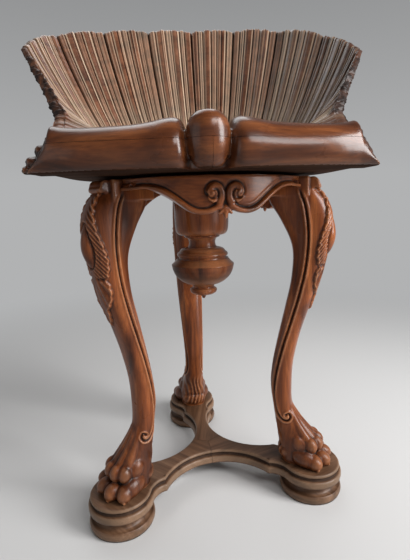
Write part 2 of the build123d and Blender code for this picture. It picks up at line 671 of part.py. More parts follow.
# Frame board in the rebate of rails and legs
with BuildPart() as frame_board:
    with BuildSketch(Plane.XY.offset(board_bottom)):
        Circle(BOARD_RADIUS)
        Circle(NUT_BARREL_RADIUS + SHANK_CLEARANCE, mode=Mode.SUBTRACT)
    extrude(amount=BOARD_THICK)
    with BuildSketch(Plane.XY.offset(flange_bottom)):
        Circle(NUT_FLANGE_RADIUS + SHANK_CLEARANCE)
    extrude(amount=NUT_FLANGE_THICK, mode=Mode.SUBTRACT)
    nut_screws(SHANK_CLEARANCE, Mode.SUBTRACT)
    for azimuth in LEG_AZIMUTHS:
        board_screw(azimuth, SHANK_CLEARANCE, Mode.SUBTRACT)
frame_board.part.label = "frame_board"
export_step(frame_board.part, "parts/frame_board.step")

with BuildPart() as frame_board_screws:
    for azimuth in LEG_AZIMUTHS:
        board_screw(azimuth)
frame_board_screws.part.label = "frame_board_screws"
export_step(frame_board_screws.part, "parts/frame_board_screws.step")

# Turned hub under the board
cup_bottom = board_bottom - HUB_DEPTH
cove_z = cup_bottom - HUB_NECK_LENGTH / 4
round_z = cup_bottom + HUB_DEPTH / 4
cove_radius = (HUB_NECK_RADIUS + HUB_RADIUS) / 2
with BuildPart() as hub:
    with BuildSketch(Plane.XZ):
        with BuildLine():
            Polyline(
                (SCREW_WELL_RADIUS, cup_bottom),
                (SCREW_WELL_RADIUS, hub_bottom),
                (HUB_NECK_RADIUS, hub_bottom),
                (HUB_NECK_RADIUS, cove_z),
            )
            TangentArc((HUB_NECK_RADIUS, cove_z), (cove_radius, cup_bottom), tangent=(0, 1))
            Spline((cove_radius, cup_bottom), (HUB_RADIUS, round_z), tangents=((1, 0), (0, 1)))
            Polyline(
                (HUB_RADIUS, round_z),
                (HUB_RADIUS, board_bottom),
                (SCREW_WELL_RADIUS, board_bottom),
                (SCREW_WELL_RADIUS, cup_bottom),
            )
        make_face()
    revolve(axis=Axis.Z)
    with BuildSketch(Plane.XY.offset(board_bottom)):
        Circle(NUT_BARREL_RADIUS + SHANK_CLEARANCE)
    extrude(amount=nut_bottom - board_bottom - HOLE_SPARE, mode=Mode.SUBTRACT)
    nut_screws(SHANK_CLEARANCE, Mode.SUBTRACT)
hub.part.label = "hub"
export_step(hub.part, "parts/hub.step")

# Turned drop, socketed on the hub's neck
ring_z = drop_top - RING_DROP * DROP_HEIGHT
shoulder_z = drop_top - SHOULDER_DROP * DROP_HEIGHT
button_z = drop_bottom + BUTTON_RISE * DROP_HEIGHT
button_neck_z = button_z + BUTTON_NECK_RISE * DROP_HEIGHT
with BuildPart() as drop:
    with BuildSketch(Plane.XZ):
        with BuildLine():
            Polyline((0, drop_bottom), (0, drop_top), (HUB_NECK_RADIUS + DROP_LIP, drop_top))
            Spline(
                (HUB_NECK_RADIUS + DROP_LIP, drop_top),
                (DROP_RING_RADIUS, ring_z),
                tangents=((1, -0.2), (0.2, -1)),
            )
            Polyline(
                (DROP_RING_RADIUS, ring_z),
                (DROP_RING_RADIUS, ring_z - DROP_FILLET),
                (DROP_RING_RADIUS - DROP_GROOVE, ring_z - DROP_FILLET),
                (DROP_RING_RADIUS - DROP_GROOVE, shoulder_z),
            )
            Spline(
                (DROP_RING_RADIUS - DROP_GROOVE, shoulder_z),
                (DROP_RADIUS, shoulder_z - DROP_FILLET),
                (BELLY_SHARE * DROP_RADIUS, shoulder_z - BELLY_DROP * DROP_HEIGHT),
                (BUTTON_NECK_RADIUS, button_neck_z),
                tangents=((1, 0), (-1, -0.6)),
            )
            Spline(
                (BUTTON_NECK_RADIUS, button_neck_z),
                (BUTTON_RADIUS, button_z),
                (TIP_SHARE * BUTTON_RADIUS, drop_bottom + TIP_RISE * DROP_HEIGHT),
                (0, drop_bottom),
            )
        make_face()
    revolve(axis=Axis.Z)
    with BuildSketch(Plane.XY.offset(drop_top)):
        Circle(HUB_NECK_RADIUS + SHANK_CLEARANCE)
    extrude(amount=-DROP_SOCKET_DEPTH, mode=Mode.SUBTRACT)
    with BuildSketch(Plane.XY.offset(drop_top)):
        Circle(SCREW_WELL_RADIUS)
    extrude(amount=drop_bottom + WELL_FLOOR - drop_top, mode=Mode.SUBTRACT)
drop.part.label = "drop"
export_step(drop.part, "parts/drop.step")

# Iron spindle with its coarse thread
thread_start = spindle_bottom + THREAD_START
thread_length = SPINDLE_LENGTH - THREAD_START - THREAD_PITCH
pin_plane = Plane((0, 0, spindle_bottom + STOP_PIN_HEIGHT), z_dir=(1, 0, 0))
with BuildPart() as spindle:
    with BuildSketch(Plane.XY.offset(spindle_bottom)):
        Circle(thread_root)
    extrude(amount=SPINDLE_LENGTH)
    thread(thread_start, thread_length, thread_root, THREAD_DEPTH, THREAD_CREST, THREAD_FLANK)
    with BuildSketch(Plane.XY.offset(plate_bottom - COLLAR_HEIGHT)):
        Circle(SPINDLE_RADIUS)
    extrude(amount=COLLAR_HEIGHT)
    with BuildSketch(Plane.XY.offset(plate_bottom)):
        Circle(TENON_RADIUS)
    extrude(amount=PLATE_THICK + PLATE_BOSS_HEIGHT)
    peg(pin_plane, STOP_PIN_RADIUS + SHANK_CLEARANCE, STOP_PIN_LENGTH, Mode.SUBTRACT)
spindle.part.label = "spindle"
export_step(spindle.part, "parts/spindle.step")

with BuildPart() as stop_pin:
    peg(pin_plane, STOP_PIN_RADIUS, STOP_PIN_LENGTH)
stop_pin.part.label = "stop_pin"
export_step(stop_pin.part, "parts/stop_pin.step")

# Flanged iron nut, its thread half a turn's pitch out of step with the spindle's
nut_bore = SPINDLE_RADIUS + RUNNING_CLEARANCE
nut_crest = THREAD_PITCH - THREAD_CREST - 2 * THREAD_FLANK - 2 * RUNNING_CLEARANCE
nut_ridge = nut_crest + 2 * THREAD_FLANK
turns_below = ceil((nut_bottom + nut_ridge / 2 - thread_start) / THREAD_PITCH - 0.5) + 0.5
nut_thread_start = thread_start + turns_below * THREAD_PITCH
with BuildPart() as nut:
    with BuildSketch(Plane.XY.offset(flange_bottom)):
        Circle(NUT_FLANGE_RADIUS)
    extrude(amount=NUT_FLANGE_THICK)
    with BuildSketch(Plane.XY.offset(flange_bottom)):
        Circle(NUT_BARREL_RADIUS)
    extrude(amount=-NUT_BARREL_LENGTH)
    with BuildSketch(Plane.XY.offset(nut_bottom)):
        Circle(nut_bore)
    extrude(amount=flange_top - nut_bottom, mode=Mode.SUBTRACT)
    thread(
        nut_thread_start,
        flange_bottom - nut_ridge / 2 - nut_thread_start,
        nut_bore,
        thread_root + RUNNING_CLEARANCE - nut_bore,
        nut_crest,
        THREAD_FLANK,
    )
    nut_screws(SHANK_CLEARANCE, Mode.SUBTRACT)
nut.part.label = "nut"
export_step(nut.part, "parts/nut.step")

with BuildPart() as nut_screw_set:
    nut_screws()
nut_screw_set.part.label = "nut_screws"
export_step(nut_screw_set.part, "parts/nut_screws.step")

# Leather washer between the nut's flange and the seat plate
with BuildPart() as thrust_washer:
    with BuildSketch(Plane.XY.offset(flange_top)):
        Circle(WASHER_RADIUS)
        Circle(SPINDLE_RADIUS + RUNNING_CLEARANCE, mode=Mode.SUBTRACT)
    extrude(amount=WASHER_THICK)
thrust_washer.part.label = "thrust_washer"
export_step(thrust_washer.part, "parts/thrust_washer.step")

# Iron plate that carries the seat
with BuildPart() as seat_plate:
    with BuildSketch(Plane.XY.offset(plate_bottom)):
        Circle(PLATE_RADIUS)
    extrude(amount=PLATE_THICK)
    with BuildSketch(Plane.XY.offset(plate_top)):
        Circle(PLATE_BOSS_RADIUS)
    extrude(amount=PLATE_BOSS_HEIGHT)
    with BuildSketch(Plane.XY.offset(plate_bottom)):
        Circle(TENON_RADIUS + SHANK_CLEARANCE)
    extrude(amount=PLATE_THICK + PLATE_BOSS_HEIGHT, mode=Mode.SUBTRACT)
    plate_screws(SHANK_CLEARANCE, Mode.SUBTRACT)
seat_plate.part.label = "seat_plate"
export_step(seat_plate.part, "parts/seat_plate.step")

with BuildPart() as plate_screw_set:
    plate_screws()
plate_screw_set.part.label = "plate_screws"
export_step(plate_screw_set.part, "parts/plate_screws.step")

# Front of the seat: a roll on each side of the boss, from the underside up
with BuildPart() as front_form:
    for x, front, top, back in ROLL_STATIONS:
        depth = FRONT_JOINT_Y - front
        face = [(front + depth * back_share, seat_bottom + top * lift) for back_share, lift in ROLL_PROFILE]
        with BuildSketch(Plane.YZ.offset(x)):
            with BuildLine():
                Spline((front + ROLL_TUCK, seat_bottom), *face, (FRONT_JOINT_Y, seat_bottom + back))
                Polyline(
                    (FRONT_JOINT_Y, seat_bottom + back),
                    (FRONT_JOINT_Y, seat_bottom),
                    (front + ROLL_TUCK, seat_bottom),
                )
            make_face()
    loft()
    mirror(about=Plane.YZ)
    with BuildSketch(Plane.XY.offset(seat_bottom)):
        with Locations((0, BOSS_FRONT_Y + BOSS_RADIUS)):
            Circle(BOSS_RADIUS)
    extrude(amount=BOSS_HEIGHT)
    fillet(front_form.edges().group_by(Axis.Z)[-1], BOSS_DOME)

with BuildPart() as front_block:
    add(front_form.part)
    split(bisect_by=Plane.XY.offset(seat_board_top), keep=Keep.TOP)
front_block.part.label = "front_block"
export_step(front_block.part, "parts/front_block.step")

# Seat board, with the lower half of the front rolls, in two halves
board_angles = [fan_end * step / SEAT_EDGE_STEPS for step in range(-SEAT_EDGE_STEPS, SEAT_EDGE_STEPS + 1)]
board_edge = [
    (board_reach(angle) * sin(radians(angle)), UMBO_Y + board_reach(angle) * cos(radians(angle)))
    for angle in board_angles
]
with BuildPart() as board_form:
    with BuildSketch(Plane.XY.offset(seat_bottom)):
        with BuildLine():
            Spline(*board_edge)
            Line(board_edge[-1], board_edge[0])
        make_face()
    extrude(amount=SEAT_BOARD_THICK)
    add(front_form.part)
    split(bisect_by=Plane.XY.offset(seat_board_top), keep=Keep.BOTTOM)
    with BuildSketch(Plane.XY.offset(seat_bottom)):
        Circle(PLATE_RADIUS + SHANK_CLEARANCE)
    extrude(amount=plate_top - seat_bottom, mode=Mode.SUBTRACT)
    with BuildSketch(Plane.XY.offset(plate_top)):
        Circle(PLATE_BOSS_RADIUS + SHANK_CLEARANCE)
    extrude(amount=PLATE_BOSS_HEIGHT + HOLE_SPARE, mode=Mode.SUBTRACT)
    plate_screws(SHANK_CLEARANCE, Mode.SUBTRACT)
    seat_pegs(SEAT_DOWEL_RADIUS + SHANK_CLEARANCE, SEAT_DOWEL_LENGTH + HOLE_SPARE, Mode.SUBTRACT)

for name, keep in (("left", Keep.BOTTOM), ("right", Keep.TOP)):
    with BuildPart() as seat_board:
        add(board_form.part)
        split(bisect_by=Plane.YZ.offset(SEAT_JOINT_X), keep=keep)
    seat_board.part.label = f"seat_board_{name}"
    export_step(seat_board.part, f"parts/seat_board_{name}.step")

with BuildPart() as seat_board_dowels:
    seat_pegs(SEAT_DOWEL_RADIUS, SEAT_DOWEL_LENGTH)
seat_board_dowels.part.label = "seat_board_dowels"
export_step(seat_board_dowels.part, "parts/seat_board_dowels.step")

# Shell of coopered staves, numbered outward from the middle on each side
stave_edges = (*STAVE_EDGES, fan_end + FAN_SPARE)
for name, side in (("left", -1), ("right", 1)):
    for number, (start, end) in enumerate(zip(stave_edges, stave_edges[1:]), 1):
        count = max(round((end - start) / FLUTE_PITCH), 1)
        widths = [FLUTE_RHYTHM[index % len(FLUTE_RHYTHM)] for index in range(count)]
        unit = (end - start) / sum(widths)
        edges = [start + unit * sum(widths[:index]) for index in range(count + 1)]
        with BuildPart() as stave:
            sections = [stave_section(side * start, JOINT_DEPTH)]
            for edge, next_edge in zip(edges, edges[1:]):
                groove = JOINT_DEPTH if next_edge == edges[-1] else FLUTE_DEPTH
                sections.append(stave_section(side * (edge + next_edge) / 2, 0))
                sections.append(stave_section(side * next_edge, groove))
            loft(sections, ruled=True)
            split(bisect_by=Plane((0, FRONT_JOINT_Y, 0), z_dir=(0, 1, 0)), keep=Keep.TOP)
        stave.part.label = f"shell_stave_{name}_{number}"
        export_step(stave.part, f"parts/shell_stave_{name}_{number}.step")
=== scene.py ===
"""Looks of a swivel stool with a carved shell seat, set round its solids.

Sizes in the classes are millimetres in the stool's own frame: the screw's axis at the origin, the floor at
zero, the seat facing -Y. A piece is scaled to metres when it is finished.
"""

import logging
from dataclasses import dataclass
from enum import Enum, IntEnum
from math import atan2, cos, degrees, hypot, pi, radians, sin

import bmesh
import bpy
import numpy as np
from mathutils import Matrix, Vector, noise


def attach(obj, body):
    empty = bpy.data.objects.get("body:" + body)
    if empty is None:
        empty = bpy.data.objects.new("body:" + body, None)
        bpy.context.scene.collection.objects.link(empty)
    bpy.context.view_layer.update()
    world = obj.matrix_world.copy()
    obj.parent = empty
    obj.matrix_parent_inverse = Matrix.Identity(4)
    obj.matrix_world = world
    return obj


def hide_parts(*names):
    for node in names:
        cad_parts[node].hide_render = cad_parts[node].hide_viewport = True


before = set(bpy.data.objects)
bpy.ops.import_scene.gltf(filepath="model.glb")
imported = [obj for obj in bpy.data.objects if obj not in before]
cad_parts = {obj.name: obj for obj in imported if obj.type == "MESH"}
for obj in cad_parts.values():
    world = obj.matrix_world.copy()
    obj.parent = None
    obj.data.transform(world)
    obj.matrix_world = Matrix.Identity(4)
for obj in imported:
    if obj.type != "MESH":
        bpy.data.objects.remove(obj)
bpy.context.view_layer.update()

MM = 0.001
LEG_AZIMUTHS = {"rear": 98.0, "left": 218.0, "right": 338.0}
RAIL_AZIMUTHS = {"back_left": 158.0, "front": 278.0, "back_right": 38.0}
FRAME_HEIGHT = 448.0
STRETCHER_TOP = 44.0
SEAT_BOTTOM = 452.0
GLUE_LINE = 480.0
SHARP_ANGLE = 50.0
FACING_DOWN = -0.9
WELD = 0.001
SOLID_WELD = 0.005
PLAN_WELD = 0.02

Colour = tuple[float, float, float]
Points = tuple[tuple[float, ...], ...]

log = logging.getLogger("stool")


class Slot(Enum):
    """Material slot names that are passed to new pieces."""

    SEAT_WOOD = "seat_wood"
    FRAME_WOOD = "frame_wood"


class Body(Enum):
    """Bodies that new pieces ride on."""

    BASE = "base"
    SEAT = "seat"


class Grain(Enum):
    """Ways the grain runs, as the turn in degrees that lays it along X."""

    ACROSS = (0.0, 0.0, 0.0)
    UPRIGHT = (0.0, 90.0, 0.0)


class Zone(IntEnum):
    """Sides of the shell."""

    INSIDE = 0
    RIM = 1
    OUTSIDE = 2
    UNDERSIDE = 3


class Luck(Enum):
    """What differs from rib to rib of the shell, from least to most."""

    DEPTH = (0.7, 1.1)
    CROWN = (2.0, 4.5)
    LEVEL = (-0.7, 0.0)
    REED_TONE = (0.0, 0.5)
    RIB_TONE = (-0.3, 0.15)
    SPLIT_PLACE = (-0.4, 0.4)
    REED_WEAR = (0.3, 1.0)
    SPLIT_DEPTH = (0.4, 1.2)


def bump(value: np.ndarray, centre: float, half_width: float) -> np.ndarray:
    """Smooth hump that is 1 at its centre and 0 beyond its half width.

    Args:
        value: where to read the hump.
        centre: middle of the hump.
        half_width: distance at which it has died away.

    Returns:
        The hump's height at each value.
    """
    share = np.clip(np.abs(value - centre) / half_width, 0, 1)
    return (1 - share**2) ** 2


def ramp(value: np.ndarray, low: float, high: float) -> np.ndarray:
    """Smooth step from 0 to 1.

    Args:
        value: where to read the step.
        low: value at which it leaves 0.
        high: value at which it reaches 1.

    Returns:
        The step's height at each value.
    """
    share = np.clip((value - low) / (high - low), 0, 1)
    return share * share * (3 - 2 * share)


def between(value: np.ndarray, rise: tuple[float, float], fall: tuple[float, float]) -> np.ndarray:
    """Smooth step up and, further on, down again.

    Args:
        value: where to read it.
        rise: values between which it rises to 1.
        fall: values between which it falls back to 0.

    Returns:
        Its height at each value.
    """
    return ramp(value, *rise) * (1 - ramp(value, *fall))


def rough(points: np.ndarray, size: float, seed: float = 0.0) -> np.ndarray:
    """Smooth random field.

    Args:
        points: places in millimetres.
        size: size of its lumps in millimetres.
        seed: shift that gives another field.

    Returns:
        A value from -1 to 1 at each point.
    """
    return np.array([noise.noise(Vector(point)) for point in points / size + seed])


def smooth_line(points: Points | list, per_span: int) -> np.ndarray:
    """Smooth line through points.

    Args:
        points: what it passes through; a point given twice is a corner.
        per_span: steps between neighbours.

    Returns:
        The line's points.
    """
    known = np.array(points, float)
    padded = np.vstack([2 * known[0] - known[1], known, 2 * known[-1] - known[-2]])
    steps = np.linspace(0, 1, per_span, endpoint=False)[:, None]
    spans = []
    for a, b, c, d in zip(padded, padded[1:], padded[2:], padded[3:]):
        spans.append(
            b
            + 0.5 * steps * (c - a)
            + steps**2 * (a - 2.5 * b + 2 * c - 0.5 * d)
            + steps**3 * (1.5 * (b - c) + 0.5 * (d - a))
        )
    return np.vstack([*spans, known[-1:]])


def line_distance(flat: np.ndarray, line: np.ndarray) -> tuple[np.ndarray, np.ndarray]:
    """Distance of flat points from a line of straight runs.

    Args:
        flat: points with two coordinates.
        line: corners of the line.

    Returns:
        The signed distance, positive on the line's left, and the share along the line of the nearest point.
    """
    best = np.full(len(flat), np.inf)
    signed = np.zeros(len(flat))
    along = np.zeros(len(flat))
    runs = len(line) - 1
    for index, (start, end) in enumerate(zip(line, line[1:])):
        run = end - start
        offset = flat - start
        share = np.clip(offset @ run / (run @ run), 0, 1)
        gap = offset - share[:, None] * run
        size = np.hypot(gap[:, 0], gap[:, 1])
        side = np.where(run[0] * offset[:, 1] - run[1] * offset[:, 0] < 0, -1.0, 1.0)
        nearer = size < best
        best = np.where(nearer, size, best)
        signed = np.where(nearer, size * side, signed)
        along = np.where(nearer, (index + share) / runs, along)
    return signed, along


@dataclass(frozen=True)
class Nodes:
    """Nodes of a material or of the world.

    Attributes:
        tree: where they stand.
    """

    tree: bpy.types.NodeTree

    def feed(self, node: bpy.types.Node, inputs: dict[str | int, object]) -> None:
        """Sets a node's inputs.

        Args:
            node: the node.
            inputs: value of each input, or the socket that feeds it.
        """
        for name, value in inputs.items():
            if isinstance(value, bpy.types.NodeSocket):
                self.tree.links.new(value, node.inputs[name])
            else:
                node.inputs[name].default_value = value

    def add(
        self, kind: str, inputs: dict[str | int, object] | None = None, **settings: object
    ) -> bpy.types.Node:
        """Adds a node.

        Args:
            kind: its type, without the words that every type starts with.
            inputs: value of each input, or the socket that feeds it.
            settings: its other properties.

        Returns:
            The node.
        """
        node = self.tree.nodes.new(f"ShaderNode{kind}")
        for name, value in settings.items():
            setattr(node, name, value)
        self.feed(node, inputs or {})
        return node

    def place(self) -> bpy.types.NodeSocket:
        """Place on the piece."""
        return self.add("TexCoord").outputs["Object"]

    def attribute(self, name: str) -> bpy.types.NodeSocket:
        """Value that a carved piece carries at each point."""
        return self.add("Attribute", attribute_name=name).outputs["Fac"]

    def combine(
        self, operation: str, first: bpy.types.NodeSocket, second: bpy.types.NodeSocket
    ) -> bpy.types.NodeSocket:
        """Result of a sum on two values."""
        return self.add("Math", {0: first, 1: second}, operation=operation).outputs["Value"]

    def ranged(
        self, value: bpy.types.NodeSocket, before: tuple[float, float], after: tuple[float, float]
    ) -> bpy.types.NodeSocket:
        """Maps a range of values onto another.

        Args:
            value: what is mapped.
            before: ends of its range.
            after: what they become.

        Returns:
            The mapped value.
        """
        ends = dict(zip(("From Min", "From Max", "To Min", "To Max"), (*before, *after)))
        return self.add("MapRange", {"Value": value, **ends}).outputs["Result"]

    def shades(
        self, share: bpy.types.NodeSocket, stops: tuple[tuple[float, Colour], ...]
    ) -> bpy.types.NodeSocket:
        """Colour that runs through stops.

        Args:
            share: where it is read.
            stops: place and colour of each stop.

        Returns:
            The colour.
        """
        node = self.add("ValToRGB", {"Fac": share})
        elements = node.color_ramp.elements
        first, *between, last = stops
        for element, (position, colour) in zip(elements, (first, last)):
            element.position = position
            element.color = (*colour, 1)
        for position, colour in between:
            elements.new(position).color = (*colour, 1)
        return node.outputs["Color"]

    def relief(self, height: bpy.types.NodeSocket, strength: float, depth: float) -> bpy.types.NodeSocket:
        """Fine grain of a surface.

        Args:
            height: the grain.
            strength: how much of it shows.
            depth: its depth in metres.

        Returns:
            The direction that the surface faces.
        """
        inputs = {"Height": height, "Strength": strength, "Distance": depth}
        return self.add("Bump", inputs).outputs["Normal"]


def new_material(name: str) -> tuple[bpy.types.Material, Nodes, bpy.types.Node]:
    """Starts a material.

    Args:
        name: its name.

    Returns:
        The material, its nodes and its shader.
    """
    material = bpy.data.materials.new(name)
    material.use_nodes = True
    return material, Nodes(material.node_tree), material.node_tree.nodes["Principled BSDF"]


@dataclass(frozen=True)
class Wood:
    """Old polished wood: dark in its hollows and worn paler on its edges.

    Attributes:
        name: the material's name.
        dark: colour of the dark bands.
        mid: main colour.
        light: colour of the light bands.
        worn: colour of rubbed edges.
        recess: colour of dirt in hollows, also laid by a negative tint, which on the rolls' lower part is
            painted shade.
        turn: turn in degrees that lays the grain along X.
        gloss: lowest roughness.
        coat: strength of the varnish.
        polish: strength of the wood's own shine.
        rub: share of the worn colour on rubbed edges.
        shift: moves the grain, so that pieces differ.
        bands: how fine the bands are along and across the grain, per metre.
        fibres: the same of the fibres.
        patches: the same of the patches of dirt.
    """

    name: str
    dark: Colour = (0.045, 0.0115, 0.0045)
    mid: Colour = (0.205, 0.053, 0.0135)
    light: Colour = (0.36, 0.112, 0.031)
    worn: Colour = (0.42, 0.185, 0.088)
    recess: Colour = (0.010, 0.0042, 0.0028)
    turn: tuple[float, float, float] = Grain.ACROSS.value
    gloss: float = 0.24
    coat: float = 0.12
    polish: float = 0.22
    rub: float = 0.6
    shift: float = 0.0
    bands: tuple[float, float, float] = (4.0, 55.0, 55.0)
    fibres: tuple[float, float, float] = (28.0, 520.0, 520.0)
    patches: tuple[float, float, float] = (11.0, 11.0, 11.0)

    def grain(
        self, nodes: Nodes, scale: tuple[float, float, float], detail: float, twist: float
    ) -> bpy.types.NodeSocket:
        """Noise drawn out along the grain.

        Args:
            nodes: where it goes.
            scale: how fine it is along and across the grain.
            detail: how many finer layers it has.
            twist: how much it is warped.

        Returns:
            The noise.
        """
        mapping = {
            "Vector": nodes.place(),
            "Rotation": [-radians(angle) for angle in self.turn],
            "Location": (self.shift, self.shift * 0.7, self.shift * 0.4),
            "Scale": [1 / size for size in scale],
        }
        turned = nodes.add("Mapping", mapping, vector_type="TEXTURE").outputs["Vector"]
        field = {"Vector": turned, "Scale": 1.0, "Detail": detail, "Roughness": 0.6, "Distortion": twist}
        return nodes.add("TexNoise", field).outputs["Fac"]

    def material(self) -> bpy.types.Material:
        """Builds the material's nodes.

        Returns:
            The material.
        """
        material, nodes, shader = new_material(self.name)
        bands = self.grain(nodes, self.bands, 3.0, 0.6)
        fibres = self.grain(nodes, self.fibres, 4.0, 0.2)
        patches = self.grain(nodes, self.patches, 4.0, 0.0)
        wear = nodes.attribute("wear")
        tint = nodes.attribute("tint")
        colour = nodes.shades(bands, ((0.3, self.dark), (0.5, self.mid), (0.72, self.light)))
        layers = (
            (self.dark, fibres, (0.35, 0.75), 0.55),
            (self.recess, patches, (0.5, 0.8), 0.5),
            (self.worn, tint, (0.0, 1.0), 0.75),
            (self.recess, tint, (0.0, -1.0), 0.8),
            (self.worn, wear, (0.25, 1.0), self.rub),
            (self.recess, wear, (-0.08, -0.85), 0.93),
        )
        for over, by, span, most in layers:
            mix = {"Factor": nodes.ranged(by, span, (0.0, most)), "A": colour, "B": (*over, 1)}
            colour = nodes.add("Mix", mix, data_type="RGBA").outputs["Result"]
        polished = nodes.ranged(patches, (0.3, 0.8), (self.gloss, self.gloss + 0.2))
        hollows = nodes.ranged(wear, (0.0, -0.8), (0.0, 0.25))
        dirt = nodes.ranged(tint, (-0.4, -1.0), (0.0, 0.3))
        nodes.feed(
            shader,
            {
                "Base Color": colour,
                "Roughness": nodes.combine("ADD", polished, nodes.combine("ADD", hollows, dirt)),
                "Normal": nodes.relief(fibres, 0.12, 0.0006),
                "Coat Weight": self.coat,
                "Coat Roughness": 0.16,
                "Specular IOR Level": self.polish,
            },
        )
        return material


@dataclass(frozen=True)
class Metal:
    """Old metal with a patchy skin.

    Attributes:
        name: the material's name.
        clean: colour of clean metal.
        stained: colour of the skin.
        smooth: roughness of clean metal.
        dull: roughness of the skin.
        stain: how much of it is stained, from 0 to 1.
    """

    name: str
    clean: Colour
    stained: Colour
    smooth: float
    dull: float
    stain: float

    def material(self) -> bpy.types.Material:
        """Builds the material's nodes.

        Returns:
            The material.
        """
        material, nodes, shader = new_material(self.name)
        field = {"Vector": nodes.place(), "Scale": 90.0, "Detail": 6.0}
        patches = nodes.add("TexNoise", field).outputs["Fac"]
        spread = 0.5 * self.stain
        stops = ((0.7 - spread, self.clean), (0.95 - spread, self.stained))
        nodes.feed(
            shader,
            {
                "Metallic": 0.85,
                "Base Color": nodes.shades(patches, stops),
                "Roughness": nodes.ranged(patches, (0.35, 0.65), (self.smooth, self.dull)),
                "Normal": nodes.relief(patches, 0.2, 0.0004),
            },
        )
        return material


@dataclass(frozen=True)
class Leather:
    """Thick dark leather, greased and dusty.

    Attributes:
        name: the material's name.
        hide: main colour.
        crease: colour between the pebbles of its grain.
        fine: how fine the pebbles are, per metre.
    """

    name: str
    hide: Colour = (0.085, 0.042, 0.022)
    crease: Colour = (0.02, 0.01, 0.006)
    fine: float = 900.0

    def material(self) -> bpy.types.Material:
        """Builds the material's nodes.

        Returns:
            The material.
        """
        material, nodes, shader = new_material(self.name)
        cells = nodes.add("TexVoronoi", {"Vector": nodes.place(), "Scale": self.fine}).outputs["Distance"]
        grain = {"Height": cells, "Strength": 0.5, "Distance": 0.0003}
        nodes.feed(
            shader,
            {
                "Base Color": nodes.shades(cells, ((0.0, self.hide), (1.0, self.crease))),
                "Roughness": 0.62,
                "Normal": nodes.add("Bump", grain, invert=True).outputs["Normal"],
            },
        )
        return material


